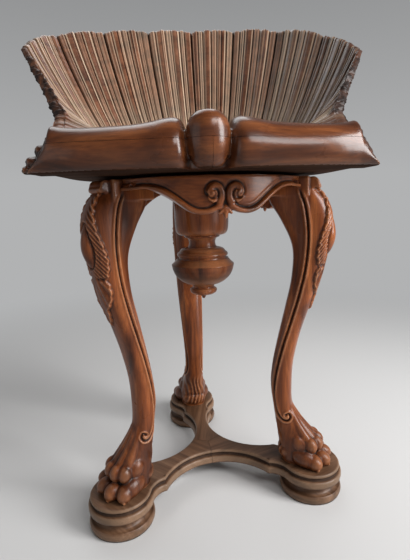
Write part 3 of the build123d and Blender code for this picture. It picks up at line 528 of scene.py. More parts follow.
@dataclass
class Carving:
    """A mesh while it is carved, in millimetres.

    Attributes:
        mesh: the mesh.
    """

    mesh: bpy.types.Mesh

    @classmethod
    def from_forms(cls, forms: bmesh.types.BMesh, voxel: float) -> "Carving":
        """Joins overlapping closed forms into one skin of even small faces.

        Args:
            forms: the forms; they are freed.
            voxel: size of the skin's faces.

        Returns:
            The skin.
        """
        rough_mesh = bpy.data.meshes.new("forms")
        forms.to_mesh(rough_mesh)
        forms.free()
        holder = bpy.data.objects.new("forms", rough_mesh)
        bpy.context.scene.collection.objects.link(holder)
        skin = holder.modifiers.new("skin", "REMESH")
        skin.mode = "VOXEL"
        skin.voxel_size = voxel
        depsgraph = bpy.context.evaluated_depsgraph_get()
        mesh = bpy.data.meshes.new_from_object(holder.evaluated_get(depsgraph))
        bpy.data.objects.remove(holder)
        bpy.data.meshes.remove(rough_mesh)
        return cls(mesh)

    @classmethod
    def from_bmesh(cls, shape: bmesh.types.BMesh) -> "Carving":
        """Takes a finished shape as it is.

        Args:
            shape: the shape; it is freed.

        Returns:
            The carving.
        """
        mesh = bpy.data.meshes.new("shape")
        shape.to_mesh(mesh)
        shape.free()
        return cls(mesh)

    def points(self) -> np.ndarray:
        """Reads where the mesh's points are.

        Returns:
            The points.
        """
        flat = np.zeros(3 * len(self.mesh.vertices), np.float32)
        self.mesh.vertices.foreach_get("co", flat)
        return flat.reshape(-1, 3).astype(float)

    def normals(self) -> np.ndarray:
        """Reads which way the mesh faces.

        Returns:
            The outward direction at each point.
        """
        flat = np.zeros(3 * len(self.mesh.vertices), np.float32)
        self.mesh.vertex_normals.foreach_get("vector", flat)
        return flat.reshape(-1, 3).astype(float)

    def move(self, points: np.ndarray) -> None:
        """Puts the mesh's points somewhere else."""
        self.mesh.vertices.foreach_set("co", points.astype(np.float32).ravel())
        self.mesh.update()

    def push(self, height: np.ndarray) -> None:
        """Moves each point outward by a height."""
        self.move(self.points() + self.normals() * height[:, None])

    def eased(self, passes: int, share: float = 0.5) -> np.ndarray:
        """Points after they have been drawn towards their neighbours.

        Args:
            passes: how often.
            share: how far each time.

        Returns:
            The eased points.
        """
        pairs = np.zeros(2 * len(self.mesh.edges), np.int32)
        self.mesh.edges.foreach_get("vertices", pairs)
        pairs = pairs.reshape(-1, 2)
        here = np.concatenate([pairs[:, 0], pairs[:, 1]])
        there = np.concatenate([pairs[:, 1], pairs[:, 0]])
        points = self.points()
        count = np.maximum(np.bincount(here, minlength=len(points)), 1)
        for _ in range(passes):
            mean = [np.bincount(here, points[there, axis], len(points)) / count for axis in range(3)]
            points = points + share * (np.array(mean).T - points)
        return points

    def smooth(self, passes: int, share: float = 0.5) -> None:
        """Softens the mesh."""
        self.move(self.eased(passes, share))

    def note(self, name: str, values: np.ndarray) -> None:
        """Keeps a value at each point for the finish to read."""
        kept = self.mesh.attributes.new(name, "FLOAT", "POINT")
        kept.data.foreach_set("value", values.astype(np.float32))

    def note_wear(self, fine: float, broad: float, share: np.ndarray | float = 1.0) -> None:
        """Notes where edges stand proud and hollows lie deep.

        Args:
            fine: height in millimetres that counts as fully worn on small forms.
            broad: the same on large forms.
            share: how much of it shows at each point.
        """
        points = self.points()
        normals = self.normals()
        near = ((points - self.eased(6)) * normals).sum(1) / fine
        far = ((points - self.eased(40)) * normals).sum(1) / broad
        self.note("wear", share * (np.clip(near, -1, 1) * 0.6 + np.clip(far, -1, 1) * 0.6))

    def finish(
        self,
        name: str,
        body: Body,
        nodes: tuple[str, ...],
        slot: Slot,
        material: bpy.types.Material,
        below: bpy.types.Material | None = None,
    ) -> bpy.types.Object:
        """Makes the carving a piece of the stool.

        Args:
            name: the piece's name.
            body: what it rides on.
            nodes: the solids that it stands for.
            slot: material slot of the record; not used.
            material: its finish.
            below: finish of the faces that look straight down, where it is another one; on the seat boards
                a dark one that paints the shade under the seat.

        Returns:
            The piece.
        """
        self.mesh.transform(Matrix.Scale(MM, 4))
        self.mesh.shade_smooth()
        self.mesh.set_sharp_from_angle(angle=radians(SHARP_ANGLE))
        self.mesh.materials.clear()
        self.mesh.materials.append(material)
        if below:
            self.mesh.materials.append(below)
            normals = np.zeros(3 * len(self.mesh.polygons), np.float32)
            self.mesh.polygons.foreach_get("normal", normals)
            down = normals.reshape(-1, 3)[:, 2] < FACING_DOWN
            self.mesh.polygons.foreach_set("material_index", down.astype(np.int32))
        self.mesh.name = name
        piece = bpy.data.objects.new(name, self.mesh)
        bpy.context.scene.collection.objects.link(piece)
        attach(piece, body.value)
        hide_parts(*nodes)
        log.info("%s: %d points for %s", name, len(self.mesh.vertices), ", ".join(nodes))
        return piece

    def stand_round(
        self, azimuths: dict[str, float], name: str, node: str, material: bpy.types.Material
    ) -> None:
        """Makes copies of the carving pieces of the base, round the axis, and drops the carving.

        Args:
            azimuths: direction of each copy, degrees.
            name: what the pieces' names start with.
            node: what the names of the solids start with that they stand for.
            material: their finish.
        """
        for place, azimuth in azimuths.items():
            stood = Carving(self.mesh.copy())
            stood.mesh.transform(Matrix.Rotation(radians(azimuth), 4, "Z"))
            stood.finish(f"{name}_{place}", Body.BASE, (f"{node}_{place}",), Slot.FRAME_WOOD, material)
        bpy.data.meshes.remove(self.mesh)


def solid_copy(node: str) -> bmesh.types.BMesh:
    """Copy of a solid's mesh in millimetres, with its loose triangles joined.

    Args:
        node: the solid's name.

    Returns:
        The copy.
    """
    copy = bmesh.new()
    copy.from_mesh(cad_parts[node].data)
    bmesh.ops.scale(copy, vec=(1 / MM, 1 / MM, 1 / MM), verts=copy.verts)
    bmesh.ops.remove_doubles(copy, verts=copy.verts, dist=SOLID_WELD)
    return copy


def open_edges(shape: bmesh.types.BMesh) -> list[bmesh.types.BMEdge]:
    """Open edges of a shape."""
    return [edge for edge in shape.edges if edge.is_boundary]


def saw(
    shape: bmesh.types.BMesh,
    place: Vector | tuple[float, ...],
    way: Vector | tuple[float, ...],
    hollowed: bool = False,
) -> None:
    """Saws a shape along a plane and closes the cut.

    Args:
        shape: the shape.
        place: a point of the plane.
        way: the side of it that is kept.
        hollowed: whether the cut's outline has hollows, so that triangles have to fill it.
    """
    geom = shape.verts[:] + shape.edges[:] + shape.faces[:]
    bmesh.ops.bisect_plane(shape, geom=geom, plane_co=place, plane_no=way, clear_inner=True)
    if hollowed:
        bmesh.ops.triangle_fill(shape, edges=open_edges(shape), normal=-Vector(way), use_beauty=True)
    else:
        bmesh.ops.holes_fill(shape, edges=open_edges(shape), sides=0)


def lathe(profile: np.ndarray, steps: int) -> bmesh.types.BMesh:
    """Turned form about the upright axis.

    Args:
        profile: radius and height of each point, from the axis round to the axis.
        steps: sides of the form.

    Returns:
        The form.
    """
    form = bmesh.new()
    chain = [form.verts.new((radius, 0, height)) for radius, height in profile]
    edges = [form.edges.new(pair) for pair in zip(chain, chain[1:])]
    bmesh.ops.spin(
        form, geom=chain + edges, cent=(0, 0, 0), axis=(0, 0, 1), dvec=(0, 0, 0),
        angle=2 * pi, steps=steps, use_merge=True,
    )
    bmesh.ops.remove_doubles(form, verts=form.verts, dist=WELD)
    bmesh.ops.recalc_face_normals(form, faces=form.faces)
    return form


def skin_rings(form: bmesh.types.BMesh, rings: list[np.ndarray]) -> None:
    """Skins closed rings of points, one after the next, with both ends capped.

    Args:
        form: where the skin goes.
        rings: the rings, all with as many points.
    """
    last = None
    for index, ring in enumerate(rings):
        capped = index in (0, len(rings) - 1)
        verts = bmesh.ops.create_circle(form, cap_ends=capped, radius=1, segments=len(ring))["verts"]
        edges = list({edge for vert in verts for edge in vert.link_edges})
        for vert, point in zip(verts, ring):
            vert.co = point
        if last:
            bmesh.ops.bridge_loops(form, edges=last + edges)
        last = edges


def lump(
    form: bmesh.types.BMesh,
    centre: tuple[float, float, float],
    sizes: tuple[float, float, float],
    pitch: float = 0.0,
    yaw: float = 0.0,
) -> None:
    """Adds an egg-shaped lump.

    Args:
        form: where it goes.
        centre: its middle.
        sizes: half its length, width and height.
        pitch: how far its length tips down, degrees.
        yaw: how far its length turns to the left, degrees.
    """
    turn = Matrix.Rotation(radians(yaw), 4, "Z") @ Matrix.Rotation(radians(pitch), 4, "Y")
    matrix = Matrix.Translation(centre) @ turn @ Matrix.Diagonal((*sizes, 1))
    bmesh.ops.create_icosphere(form, subdivisions=4, radius=1, matrix=matrix)


@dataclass
class FootPads:
    """Turned pads under the stretcher's round ends.

    Attributes:
        reach: from the axis to a pad's middle.
        profile: radius and height of the turned edge, from the floor up.
        core: radius within which a pad keeps its shape.
        dents: depth and size of the dents in its edge.
    """

    reach: float = 158.0
    profile: Points = (
        (0, 0), (0, 0), (39.5, 0), (39.5, 0), (42.4, 1.2), (43.7, 4.5), (43.6, 8.4), (42.4, 11.0),
        (41.6, 11.8), (41.6, 11.8), (38.6, 12.0), (38.6, 12.0), (36.2, 13.4), (34.3, 16.2), (33.9, 18.6),
        (34.9, 21.2), (37.0, 22.8), (37.4, 23.3), (37.4, 24.0), (37.4, 24.0), (0, 24.0), (0, 24.0),
    )
    core: float = 20.0
    dents: tuple[float, float] = (0.35, 22.0)

    def build(self, finish: bpy.types.Material) -> None:
        """Turns the three pads.

        Args:
            finish: their wood.
        """
        for name, azimuth in LEG_AZIMUTHS.items():
            pad = Carving.from_bmesh(lathe(smooth_line(self.profile, 5), 120))
            points = pad.points()
            depth, size = self.dents
            wobble = depth * rough(points + 40 * azimuth, size)
            reach = np.hypot(points[:, 0], points[:, 1])
            share = np.where(reach > self.core, wobble / np.maximum(reach, 1), 0)
            points[:, :2] *= (1 + np.minimum(share, 0))[:, None]
            points[:, 0] += self.reach * cos(radians(azimuth))
            points[:, 1] += self.reach * sin(radians(azimuth))
            points[:, 2] = np.maximum(points[:, 2], 0)
            pad.move(points)
            pad.note_wear(0.5, 2.2)
            pad.finish(f"turned_pad_{name}", Body.BASE, (f"foot_pad_{name}",), Slot.FRAME_WOOD, finish)


@dataclass
class Stretcher:
    """Three-armed stretcher with a moulded edge, mitred at its middle.

    Attributes:
        bottom: height of its underside.
        reach: from the axis to the middle of a round end.
        lobe: radius of the round ends.
        sweep: how far round the ends run, degrees.
        cusp: the pointed kink, along and beside the arm.
        crotch: nearest that the hollow edges come to the axis.
        moulding: how far in and how high each line of the edge lies.
        joint: half the width of the mitre's dark line.
        corners: a face with more corners than this is the flat of the board.
        kink: least share of an even step that a pointed kink takes.
        proud_line: how far a fully worn line of the edge stands out of the lines beside it.
        most_wear: the most wear of such a line.
    """

    bottom: float = 24.0
    reach: float = 158.0
    lobe: float = 43.5
    sweep: float = 134.0
    cusp: tuple[float, float] = (101.0, 26.0)
    crotch: float = 29.0
    moulding: Points = (
        (1.4, 0.0), (0.3, 1.0), (0.0, 2.6), (0.0, 7.6), (0.5, 9.2), (1.5, 10.3), (2.9, 10.8), (4.3, 11.0),
        (4.9, 12.2), (5.1, 13.8), (4.8, 15.0), (3.9, 15.6), (3.1, 16.2), (2.8, 17.2), (3.0, 18.3),
        (3.6, 19.2), (4.6, 19.8), (5.8, 20.0), (7.4, 20.0),
    )
    joint: float = 0.22
    corners: int = 40
    kink: float = 0.35
    proud_line: float = 1.5
    most_wear: float = 0.55

    def outline(self) -> bmesh.types.BMesh:
        """Draws the plan as one closed line.

        Returns:
            The line, at no height.
        """
        plan = bmesh.new()
        upright = {"axis": (0, 0, 1), "dvec": (0, 0, 0)}

        def arc(start: Vector, end: Vector, normal: Vector, steps: int) -> None:
            """Draws an arc.

            Args:
                start: where it starts.
                end: where it ends.
                normal: the way from its start to its centre.
                steps: its straight runs.
            """
            gap = end - start
            centre = start + normal * (gap.length_squared / (2 * gap.dot(normal)))
            first = start - centre
            last = end - centre
            angle = atan2(first.x * last.y - first.y * last.x, first.dot(last))
            vert = plan.verts.new(start)
            bmesh.ops.spin(plan, geom=[vert], cent=centre, angle=angle, steps=steps, **upright)

        middle = Vector((cos(pi / 3), sin(pi / 3), 0))
        cusp = Vector((*self.cusp, 0))
        sweep = radians(self.sweep)
        out = Vector((cos(sweep), sin(sweep), 0))
        centre = Vector((self.reach, 0, 0))
        arc(middle * self.crotch, cusp, middle, 40)
        arc(centre + out * self.lobe, cusp, out, 10)
        tip = plan.verts.new(centre + Vector((self.lobe, 0, 0)))
        bmesh.ops.spin(plan, geom=[tip], cent=centre, angle=sweep, steps=48, **upright)
        half = plan.verts[:] + plan.edges[:]
        bmesh.ops.mirror(plan, geom=half, axis="Y", merge_dist=0.01)
        bmesh.ops.remove_doubles(plan, verts=plan.verts, dist=PLAN_WELD)
        turn = Matrix.Rotation(radians(LEG_AZIMUTHS["rear"]), 3, "Z")
        bmesh.ops.rotate(plan, cent=(0, 0, 0), matrix=turn, verts=plan.verts)
        arm = plan.verts[:] + plan.edges[:]
        bmesh.ops.spin(
            plan, geom=arm, cent=(0, 0, 0), angle=4 * pi / 3, steps=2, use_duplicate=True, **upright
        )
        bmesh.ops.remove_doubles(plan, verts=plan.verts, dist=PLAN_WELD)
        return plan

    def build(self, finishes: dict[str, bpy.types.Material]) -> None:
        """Makes the moulded board and saws it into its arms.

        Args:
            finishes: wood of each arm.
        """
        board = self.outline()
        wear_layer = board.verts.layers.float.new("wear")
        bmesh.ops.contextual_create(board, geom=board.edges[:])
        top = board.faces[:]
        bmesh.ops.translate(board, vec=(0, 0, self.bottom), verts=board.verts)
        bmesh.ops.recalc_face_normals(board, faces=top)
        if top[0].normal.z < 0:
            bmesh.ops.reverse_faces(board, faces=top)
        shift = {vert: self.inward(vert, self.moulding[0][0]) for vert in board.verts}
        for vert, move in shift.items():
            vert.co += move
        copied = bmesh.ops.duplicate(board, geom=top)["geom"]
        underside = [item for item in copied if isinstance(item, bmesh.types.BMFace)]
        bmesh.ops.reverse_faces(board, faces=underside)
        steps = [(b[0] - a[0], b[1] - a[1]) for a, b in zip(self.moulding, self.moulding[1:])]
        for (inward, rise), proud in zip(steps, self.proud()[1:]):
            side = bmesh.ops.extrude_face_region(board, geom=top)["geom"]
            bmesh.ops.delete(board, geom=top, context="FACES_KEEP_BOUNDARY")
            top = [item for item in side if isinstance(item, bmesh.types.BMFace)]
            lifted = [item for item in side if isinstance(item, bmesh.types.BMVert)]
            shift = {vert: self.inward(vert, inward) for vert in lifted}
            for vert, move in shift.items():
                vert.co += move + Vector((0, 0, rise))
                vert[wear_layer] = proud
        bmesh.ops.remove_doubles(board, verts=board.verts, dist=WELD)
        bmesh.ops.recalc_face_normals(board, faces=board.faces)
        for name, azimuth in LEG_AZIMUTHS.items():
            arm = board.copy()
            for side in (-1, 1):
                edge = radians(azimuth + 60 * side)
                across = Vector((-sin(edge), cos(edge), 0)) * -side
                saw(arm, across * self.joint, across)
            bmesh.ops.recalc_face_normals(arm, faces=arm.faces)
            carving = Carving.from_bmesh(arm)
            solids = (f"stretcher_arm_{name}",)
            carving.finish(f"moulded_arm_{name}", Body.BASE, solids, Slot.FRAME_WOOD, finishes[name])
        board.free()

    def proud(self) -> np.ndarray:
        """Finds the lines of the edge that get rubbed.

        Returns:
            How far each line stands out of the lines beside it, from -1 to 1.
        """
        inset = np.array([inward for inward, _ in self.moulding])
        around = (inset[:-4] + inset[4:]) / 2
        return np.pad(np.clip((around - inset[2:-2]) / self.proud_line, -1, self.most_wear), 2)

    def inward(self, vert: bmesh.types.BMVert, amount: float) -> Vector:
        """Step that takes a point of the top's outline inward by an even amount.

        Args:
            vert: the point.
            amount: how far its two edges move in.

        Returns:
            The step.
        """
        level = (item for item in vert.link_loops if abs(item.face.normal.z) > 0.5)
        loop = next(item for item in level if len(item.face.verts) > self.corners)
        before = (vert.co - loop.link_loop_prev.vert.co).normalized()
        after = (loop.link_loop_next.vert.co - vert.co).normalized()
        normal = Vector((-before.y - after.y, before.x + after.x, 0)).normalized()
        spread = max(normal.dot(Vector((-after.y, after.x, 0))), self.kink)
        return normal * (amount / spread)


def rod(form: bmesh.types.BMesh, points: np.ndarray, radii: np.ndarray) -> None:
    """Adds a round rod along a line.

    Args:
        form: where it goes.
        points: the line.
        radii: the rod's radius at each point.
    """
    curve = bpy.data.curves.new("rod", "CURVE")
    curve.dimensions = "3D"
    curve.bevel_depth = 1.0
    curve.bevel_resolution = 5
    curve.use_fill_caps = True
    spline = curve.splines.new("POLY")
    spline.points.add(len(points) - 1)
    for knot, point, radius in zip(spline.points, points, radii):
        knot.co = (*point, 1)
        knot.radius = radius
    holder = bpy.data.objects.new("rod", curve)
    mesh = bpy.data.meshes.new_from_object(holder)
    form.from_mesh(mesh)
    bpy.data.objects.remove(holder)
    bpy.data.curves.remove(curve)
    bpy.data.meshes.remove(mesh)


@dataclass
class CabrioleLegs:
    """Three cabriole legs, each with a leaf on its knee and a lion's paw.

    Attributes:
        stations: height, outer reach, inner reach and half width of the leg.
        squareness: how square its section is; 2 is an ellipse.
        edge_line: reach and height of the beaded line down each side.
        leaf: height of the knee's leaf and half its width there.
        leaf_ends: heights between which it starts and ends.
        scallop: depth and length of the scallops along its edge.
        fan: height that its lower ribs fan out from, and how fine they are.
        parting: heights between which its upper ribs take over.
        rib_pitch: distance between its upper ribs.
        relief: height of the leaf, of its ribs and of its lip, and depth of its notch.
        paw: reach of the point that the toes fan out from.
        toes: angle of each toe about that point, degrees.
        tongue: height of the knee's tongue, half its length, half its width and how far it stands out.
        head: width and underside of the square head.
        blocks: inner reach, outer reach and top of the head's two blocks.
        scrolls: reach, height, radius and half width of the small scroll's two rods.
        toe_lumps: reach, height, half sizes and dip in degrees of the lumps of a toe.
        tendon: reach and height of a tendon's start on its toe.
        tendon_end: reach, spread and height of the outermost tendon's end on the leg.
        tendon_radius: radius of a tendon's start and how much it loses.
        side_lumps: place, half sizes, dip and yaw in degrees of the lumps along the paw's side.
        heel: place and half sizes of the paw's heel.
        beads: height, place and half width of each line of the edge bead.
        beaded: heights between which the edge beads start and end.
        sunk: heights between which the panel beside them starts and ends.
        hair: heights between which the hair behind the paw starts and ends.
        soiled: heights between which the paw's grime ends.
        grime: how dark the paws are, from 0 to 1.
        rubbing: how much more the paws' knuckles are rubbed than the leg.
        voxel: size of the skin's faces.
    """

    stations: Points = (
        (44.0, 167.0, 117.0, 22.0), (60.2, 168.0, 115.0, 23.0), (76.7, 163.0, 112.5, 22.0),
        (91.3, 152.5, 110.0, 18.5), (104.6, 142.0, 107.5, 16.5), (127.2, 131.0, 104.0, 15.0),
        (160.0, 129.5, 100.0, 15.5), (193.9, 131.5, 103.0, 17.0), (234.7, 140.0, 111.0, 19.0),
        (275.9, 152.5, 120.0, 20.5), (316.7, 165.0, 128.0, 21.0), (357.9, 174.0, 128.5, 21.5),
        (393.5, 178.0, 113.0, 21.5), (417.3, 171.0, 98.0, 21.5), (431.8, 160.0, 96.0, 21.0),
    )
    squareness: float = 2.6
    edge_line: Points = (
        (139, 432), (147, 408), (151, 372), (148, 332), (140, 294), (130, 258), (119, 220), (110, 181),
        (106.5, 152), (108, 132), (112, 118), (119, 109.5), (126, 108.5), (130, 113), (127.5, 118),
        (123.5, 116),
    )
    leaf: Points = (
        (268, -3), (276, 3.0), (286, 6.5), (295, 8.0), (301, 13), (311, 19), (324, 22), (332, 19),
        (338, 23), (350, 27), (364, 27), (376, 25), (388, 21), (400, 17), (412, 12), (424, 10), (440, 9),
    )
    leaf_ends: Points = ((266.0, 270.0), (428.0, 438.0))
    scallop: tuple[float, float] = (1.6, 9.5)
    fan: tuple[float, float] = (348.0, 21.0)
    parting: tuple[float, float] = (333.0, 339.0)
    rib_pitch: float = 6.2
    relief: tuple[float, float, float, float] = (2.5, 0.75, 0.8, 2.2)
    paw: float = 145.0
    toes: tuple[float, ...] = (-50.0, -17.0, 17.0, 50.0)
    tongue: tuple[float, float, float, float] = (373.0, 27.5, 11.5, 9.5)
    head: tuple[float, float] = (43.6, 424.0)
    blocks: Points = ((94.0, 150.0, 437.9), (130.3, 150.0, FRAME_HEIGHT))
    scrolls: Points = ((154.5, 440.3, 7.4, 15.0), (160.5, 436.5, 3.4, 14.0))
    toe_lumps: Points = (
        (29.5, 54.0, 13.8, 10.4, 10.8, 10.0), (20.5, 75.0, 11.5, 8.6, 10.5, 42.0),
        (39.6, 48.2, 3.6, 2.2, 3.8, 50.0),
    )
    tendon: tuple[float, float] = (18.5, 77.0)
    tendon_end: tuple[float, float, float] = (126.0, 5.0, 129.0)
    tendon_radius: tuple[float, float] = (7.6, 3.8)
    side_lumps: Points = (
        (151.0, 20.5, 57.0, 20.0, 11.5, 13.0, 12.0, 14.0), (142.5, 15.5, 76.0, 15.5, 9.5, 11.5, 45.0, 12.0),
    )
    heel: Points = ((127.0, 0.0, 60.0), (16.0, 22.0, 16.0))
    beads: Points = ((1.5, 2.9, 2.7), (-2.3, 0.0, 2.1), (1.2, -2.9, 2.4))
    beaded: Points = ((96.0, 102.0), (424.0, 436.0))
    sunk: Points = ((150.0, 240.0), (405.0, 425.0))
    hair: Points = ((47.0, 54.0), (96.0, 116.0))
    soiled: tuple[float, float] = (62.0, 150.0)
    grime: float = 0.5
    rubbing: float = 0.6
    voxel: float = 1.1

    def at(self, heights: np.ndarray) -> tuple[np.ndarray, np.ndarray, np.ndarray]:
        """Outer reach, inner reach and half width of the leg at some heights."""
        line = smooth_line(self.stations, 8)
        return tuple(np.interp(heights, line[:, 0], line[:, column]) for column in (1, 2, 3))

    def forms(self) -> bmesh.types.BMesh:
        """Puts the leg's forms together, pointing along X.

        Returns:
            The forms.
        """
        form = bmesh.new()
        heights = np.linspace(self.stations[0][0], self.stations[-1][0], 66)
        turns = np.linspace(0, 2 * pi, 44, endpoint=False)
        power = 2 / self.squareness
        wide = np.sign(np.cos(turns)) * np.abs(np.cos(turns)) ** power
        tall = np.sign(np.sin(turns)) * np.abs(np.sin(turns)) ** power
        rings = []
        for height, outer, inner, half in zip(heights, *self.at(heights)):
            middle = (outer + inner) / 2
            depth = (outer - inner) / 2
            rings.append(np.column_stack([middle + depth * wide, half * tall, np.full(len(turns), height)]))
        skin_rings(form, rings)
        self.add_head(form)
        self.add_tongue(form)
        self.add_paw(form)
        return form

    def add_head(self, form: bmesh.types.BMesh) -> None:
        """Adds the square head under the frame board and the small scroll on its outside.

        Args:
            form: where it goes.
        """
        width, bottom = self.head
        for low, high, top in self.blocks:
            centre = Matrix.Translation(((low + high) / 2, 0, (top + bottom) / 2))
            size = Matrix.Diagonal((high - low, width, top - bottom, 1))
            bmesh.ops.create_cube(form, size=1, matrix=centre @ size)
        for reach, height, radius, half in self.scrolls:
            line = np.array([(reach, -half, height), (reach, half, height)])
            rod(form, line, np.array([radius, radius]))

    @staticmethod
    def taper(level: np.ndarray) -> np.ndarray:
        """Share of the tongue's width that is left at a level from -1 to 1."""
        return 1 - 0.42 * ramp(level, -0.35, 1.0)

    def add_tongue(self, form: bmesh.types.BMesh) -> None:
        """Adds the smooth rolled tongue that hangs over the knee.

        Args:
            form: where it goes.
        """
        height, half_length, half_width, proud = self.tongue
        drop = bmesh.ops.create_icosphere(form, subdivisions=5, radius=1)["verts"]
        unit = np.array([vert.co for vert in drop])
        level = height + half_length * unit[:, 2]
        taper = self.taper(unit[:, 2])
        reach = self.at(level)[0] - 1.5 + proud * unit[:, 0] * taper
        for vert, point in zip(drop, np.column_stack([reach, half_width * unit[:, 1] * taper, level])):
            vert.co = point

    def add_paw(self, form: bmesh.types.BMesh) -> None:
        """Adds toes, knuckles, tendons, claws and the pads along the sides.

        Args:
            form: where it goes.
        """
        inset, spread, top = self.tendon_end
        radius, loss = self.tendon_radius
        share = np.linspace(0, 1, 14)[:, None]
        for angle in self.toes:
            turn = radians(angle)

            def around(reach: float, height: float) -> tuple[float, float, float]:
                """Place at some reach from the paw's middle, in the toe's direction."""
                return self.paw + reach * cos(turn), reach * sin(turn), height

            for reach, height, *sizes, dip in self.toe_lumps:
                lump(form, around(reach, height), tuple(sizes), dip, 0.6 * angle)
            end = np.array([(inset, spread * (angle / max(self.toes)), top)])
            line = np.array(around(*self.tendon)) * (1 - share) + end * share
            line[:, 0] -= 3.0 * np.sin(pi * share[:, 0])
            rod(form, line, radius - loss * share[:, 0])
        for side in (-1, 1):
            for reach, aside, height, *sizes, dip, yaw in self.side_lumps:
                lump(form, (reach, aside * side, height), tuple(sizes), dip, yaw * side)
        lump(form, *self.heel)

    def carve(self, leg: Carving) -> None:
        """Carves edge beads, leaf, and the hair behind the paw.

        Args:
            leg: the skinned leg.
        """
        leg.smooth(2)
        points = leg.points()
        points[:, 2] = np.maximum(points[:, 2], STRETCHER_TOP)
        leg.move(points)
        reach, aside, height = points.T
        outer, _, half = self.at(height)
        flank = ramp(np.abs(aside) / half, 0.6, 0.85)
        shaft = between(height, *self.beaded)
        signed, _ = line_distance(points[:, [0, 2]], smooth_line(self.edge_line, 6))
        beads = sum(proud * bump(signed, place, wide) for proud, place, wide in self.beads)
        panel = ramp(-signed, 4.5, 8.0) * between(height, *self.sunk)
        leg.push(shaft * flank * (beads - 1.3 * panel))
        self.carve_leaf(leg, reach, aside, height, outer)
        hair = (1 - ramp(reach, 116, 128)) * between(height, *self.hair)
        strands = np.cos(aside * 0.95 + 2.4 * np.sin(height / 9.0) + 2.0 * rough(points, 16.0))
        leg.push(hair * (0.6 * strands + 0.5 * rough(points, 7.0)))
        leg.smooth(1, 0.35)

    def carve_leaf(
        self, leg: Carving, reach: np.ndarray, aside: np.ndarray, height: np.ndarray, outer: np.ndarray
    ) -> None:
        """Raises the knee's leaf and cuts its ribs.

        Args:
            leg: the skinned leg.
            reach: each point's distance outward.
            aside: each point's distance to the side.
            height: each point's height.
            outer: the leg's outer reach at that height.
        """
        outline = smooth_line(self.leaf, 6)
        across = np.abs(aside) + 0.8 * np.maximum(outer - reach - 3, 0)
        depth, length = self.scallop
        scallop = depth * np.abs(np.sin(height * pi / length)) - depth / 2
        edge = np.interp(height, outline[:, 0], outline[:, 1]) + scallop - across
        mask = ramp(edge, -0.4, 1.4) * between(height, *self.leaf_ends)
        front = ramp(reach - outer, -26, -20)
        start, fineness = self.fan
        lower = np.cos(np.arctan2(across, start - height) * fineness)
        upper = np.cos((height + 1.25 * across) * 2 * pi / self.rib_pitch)
        share = ramp(height, *self.parting)
        ribs = np.where(height > 300, share * upper + (1 - share) * lower, 0)
        middle, half_length, half_width, _ = self.tongue
        unit = np.clip((height - middle) / half_length, -1, 1)
        rim = np.abs(aside) - half_width * np.sqrt(1 - unit**2) * self.taper(unit)
        hung = (np.abs(unit) < 1) * (reach > outer - 9)
        clear = np.where(hung, ramp(rim, -0.3, 1.2), 1.0)
        quirk = np.where(hung, bump(rim, 0.8, 1.8), 0.0)
        body = ramp(across, 3.0, 8.0)
        lip = bump(edge, 2.0, 2.4)
        notch = bump(height, 334.5, 3.5) * ramp(across, 4, 9)
        leaf_height, rib_height, lip_height, notch_depth = self.relief
        raised = leaf_height + rib_height * ribs * body + lip_height * lip - notch_depth * notch
        leg.push(mask * front * (clear * raised - 1.6 * quirk))

    def build(self, finish: bpy.types.Material) -> None:
        """Carves one leg and stands three of it round the axis.

        Args:
            finish: their wood.
        """
        leg = Carving.from_forms(self.forms(), self.voxel)
        self.carve(leg)
        paw = 1 - ramp(leg.points()[:, 2], *self.soiled)
        leg.note_wear(0.55, 2.6, 1.15 + self.rubbing * paw)
        leg.note("tint", -self.grime * paw)
        leg.stand_round(LEG_AZIMUTHS, "cabriole_leg", "leg", finish)


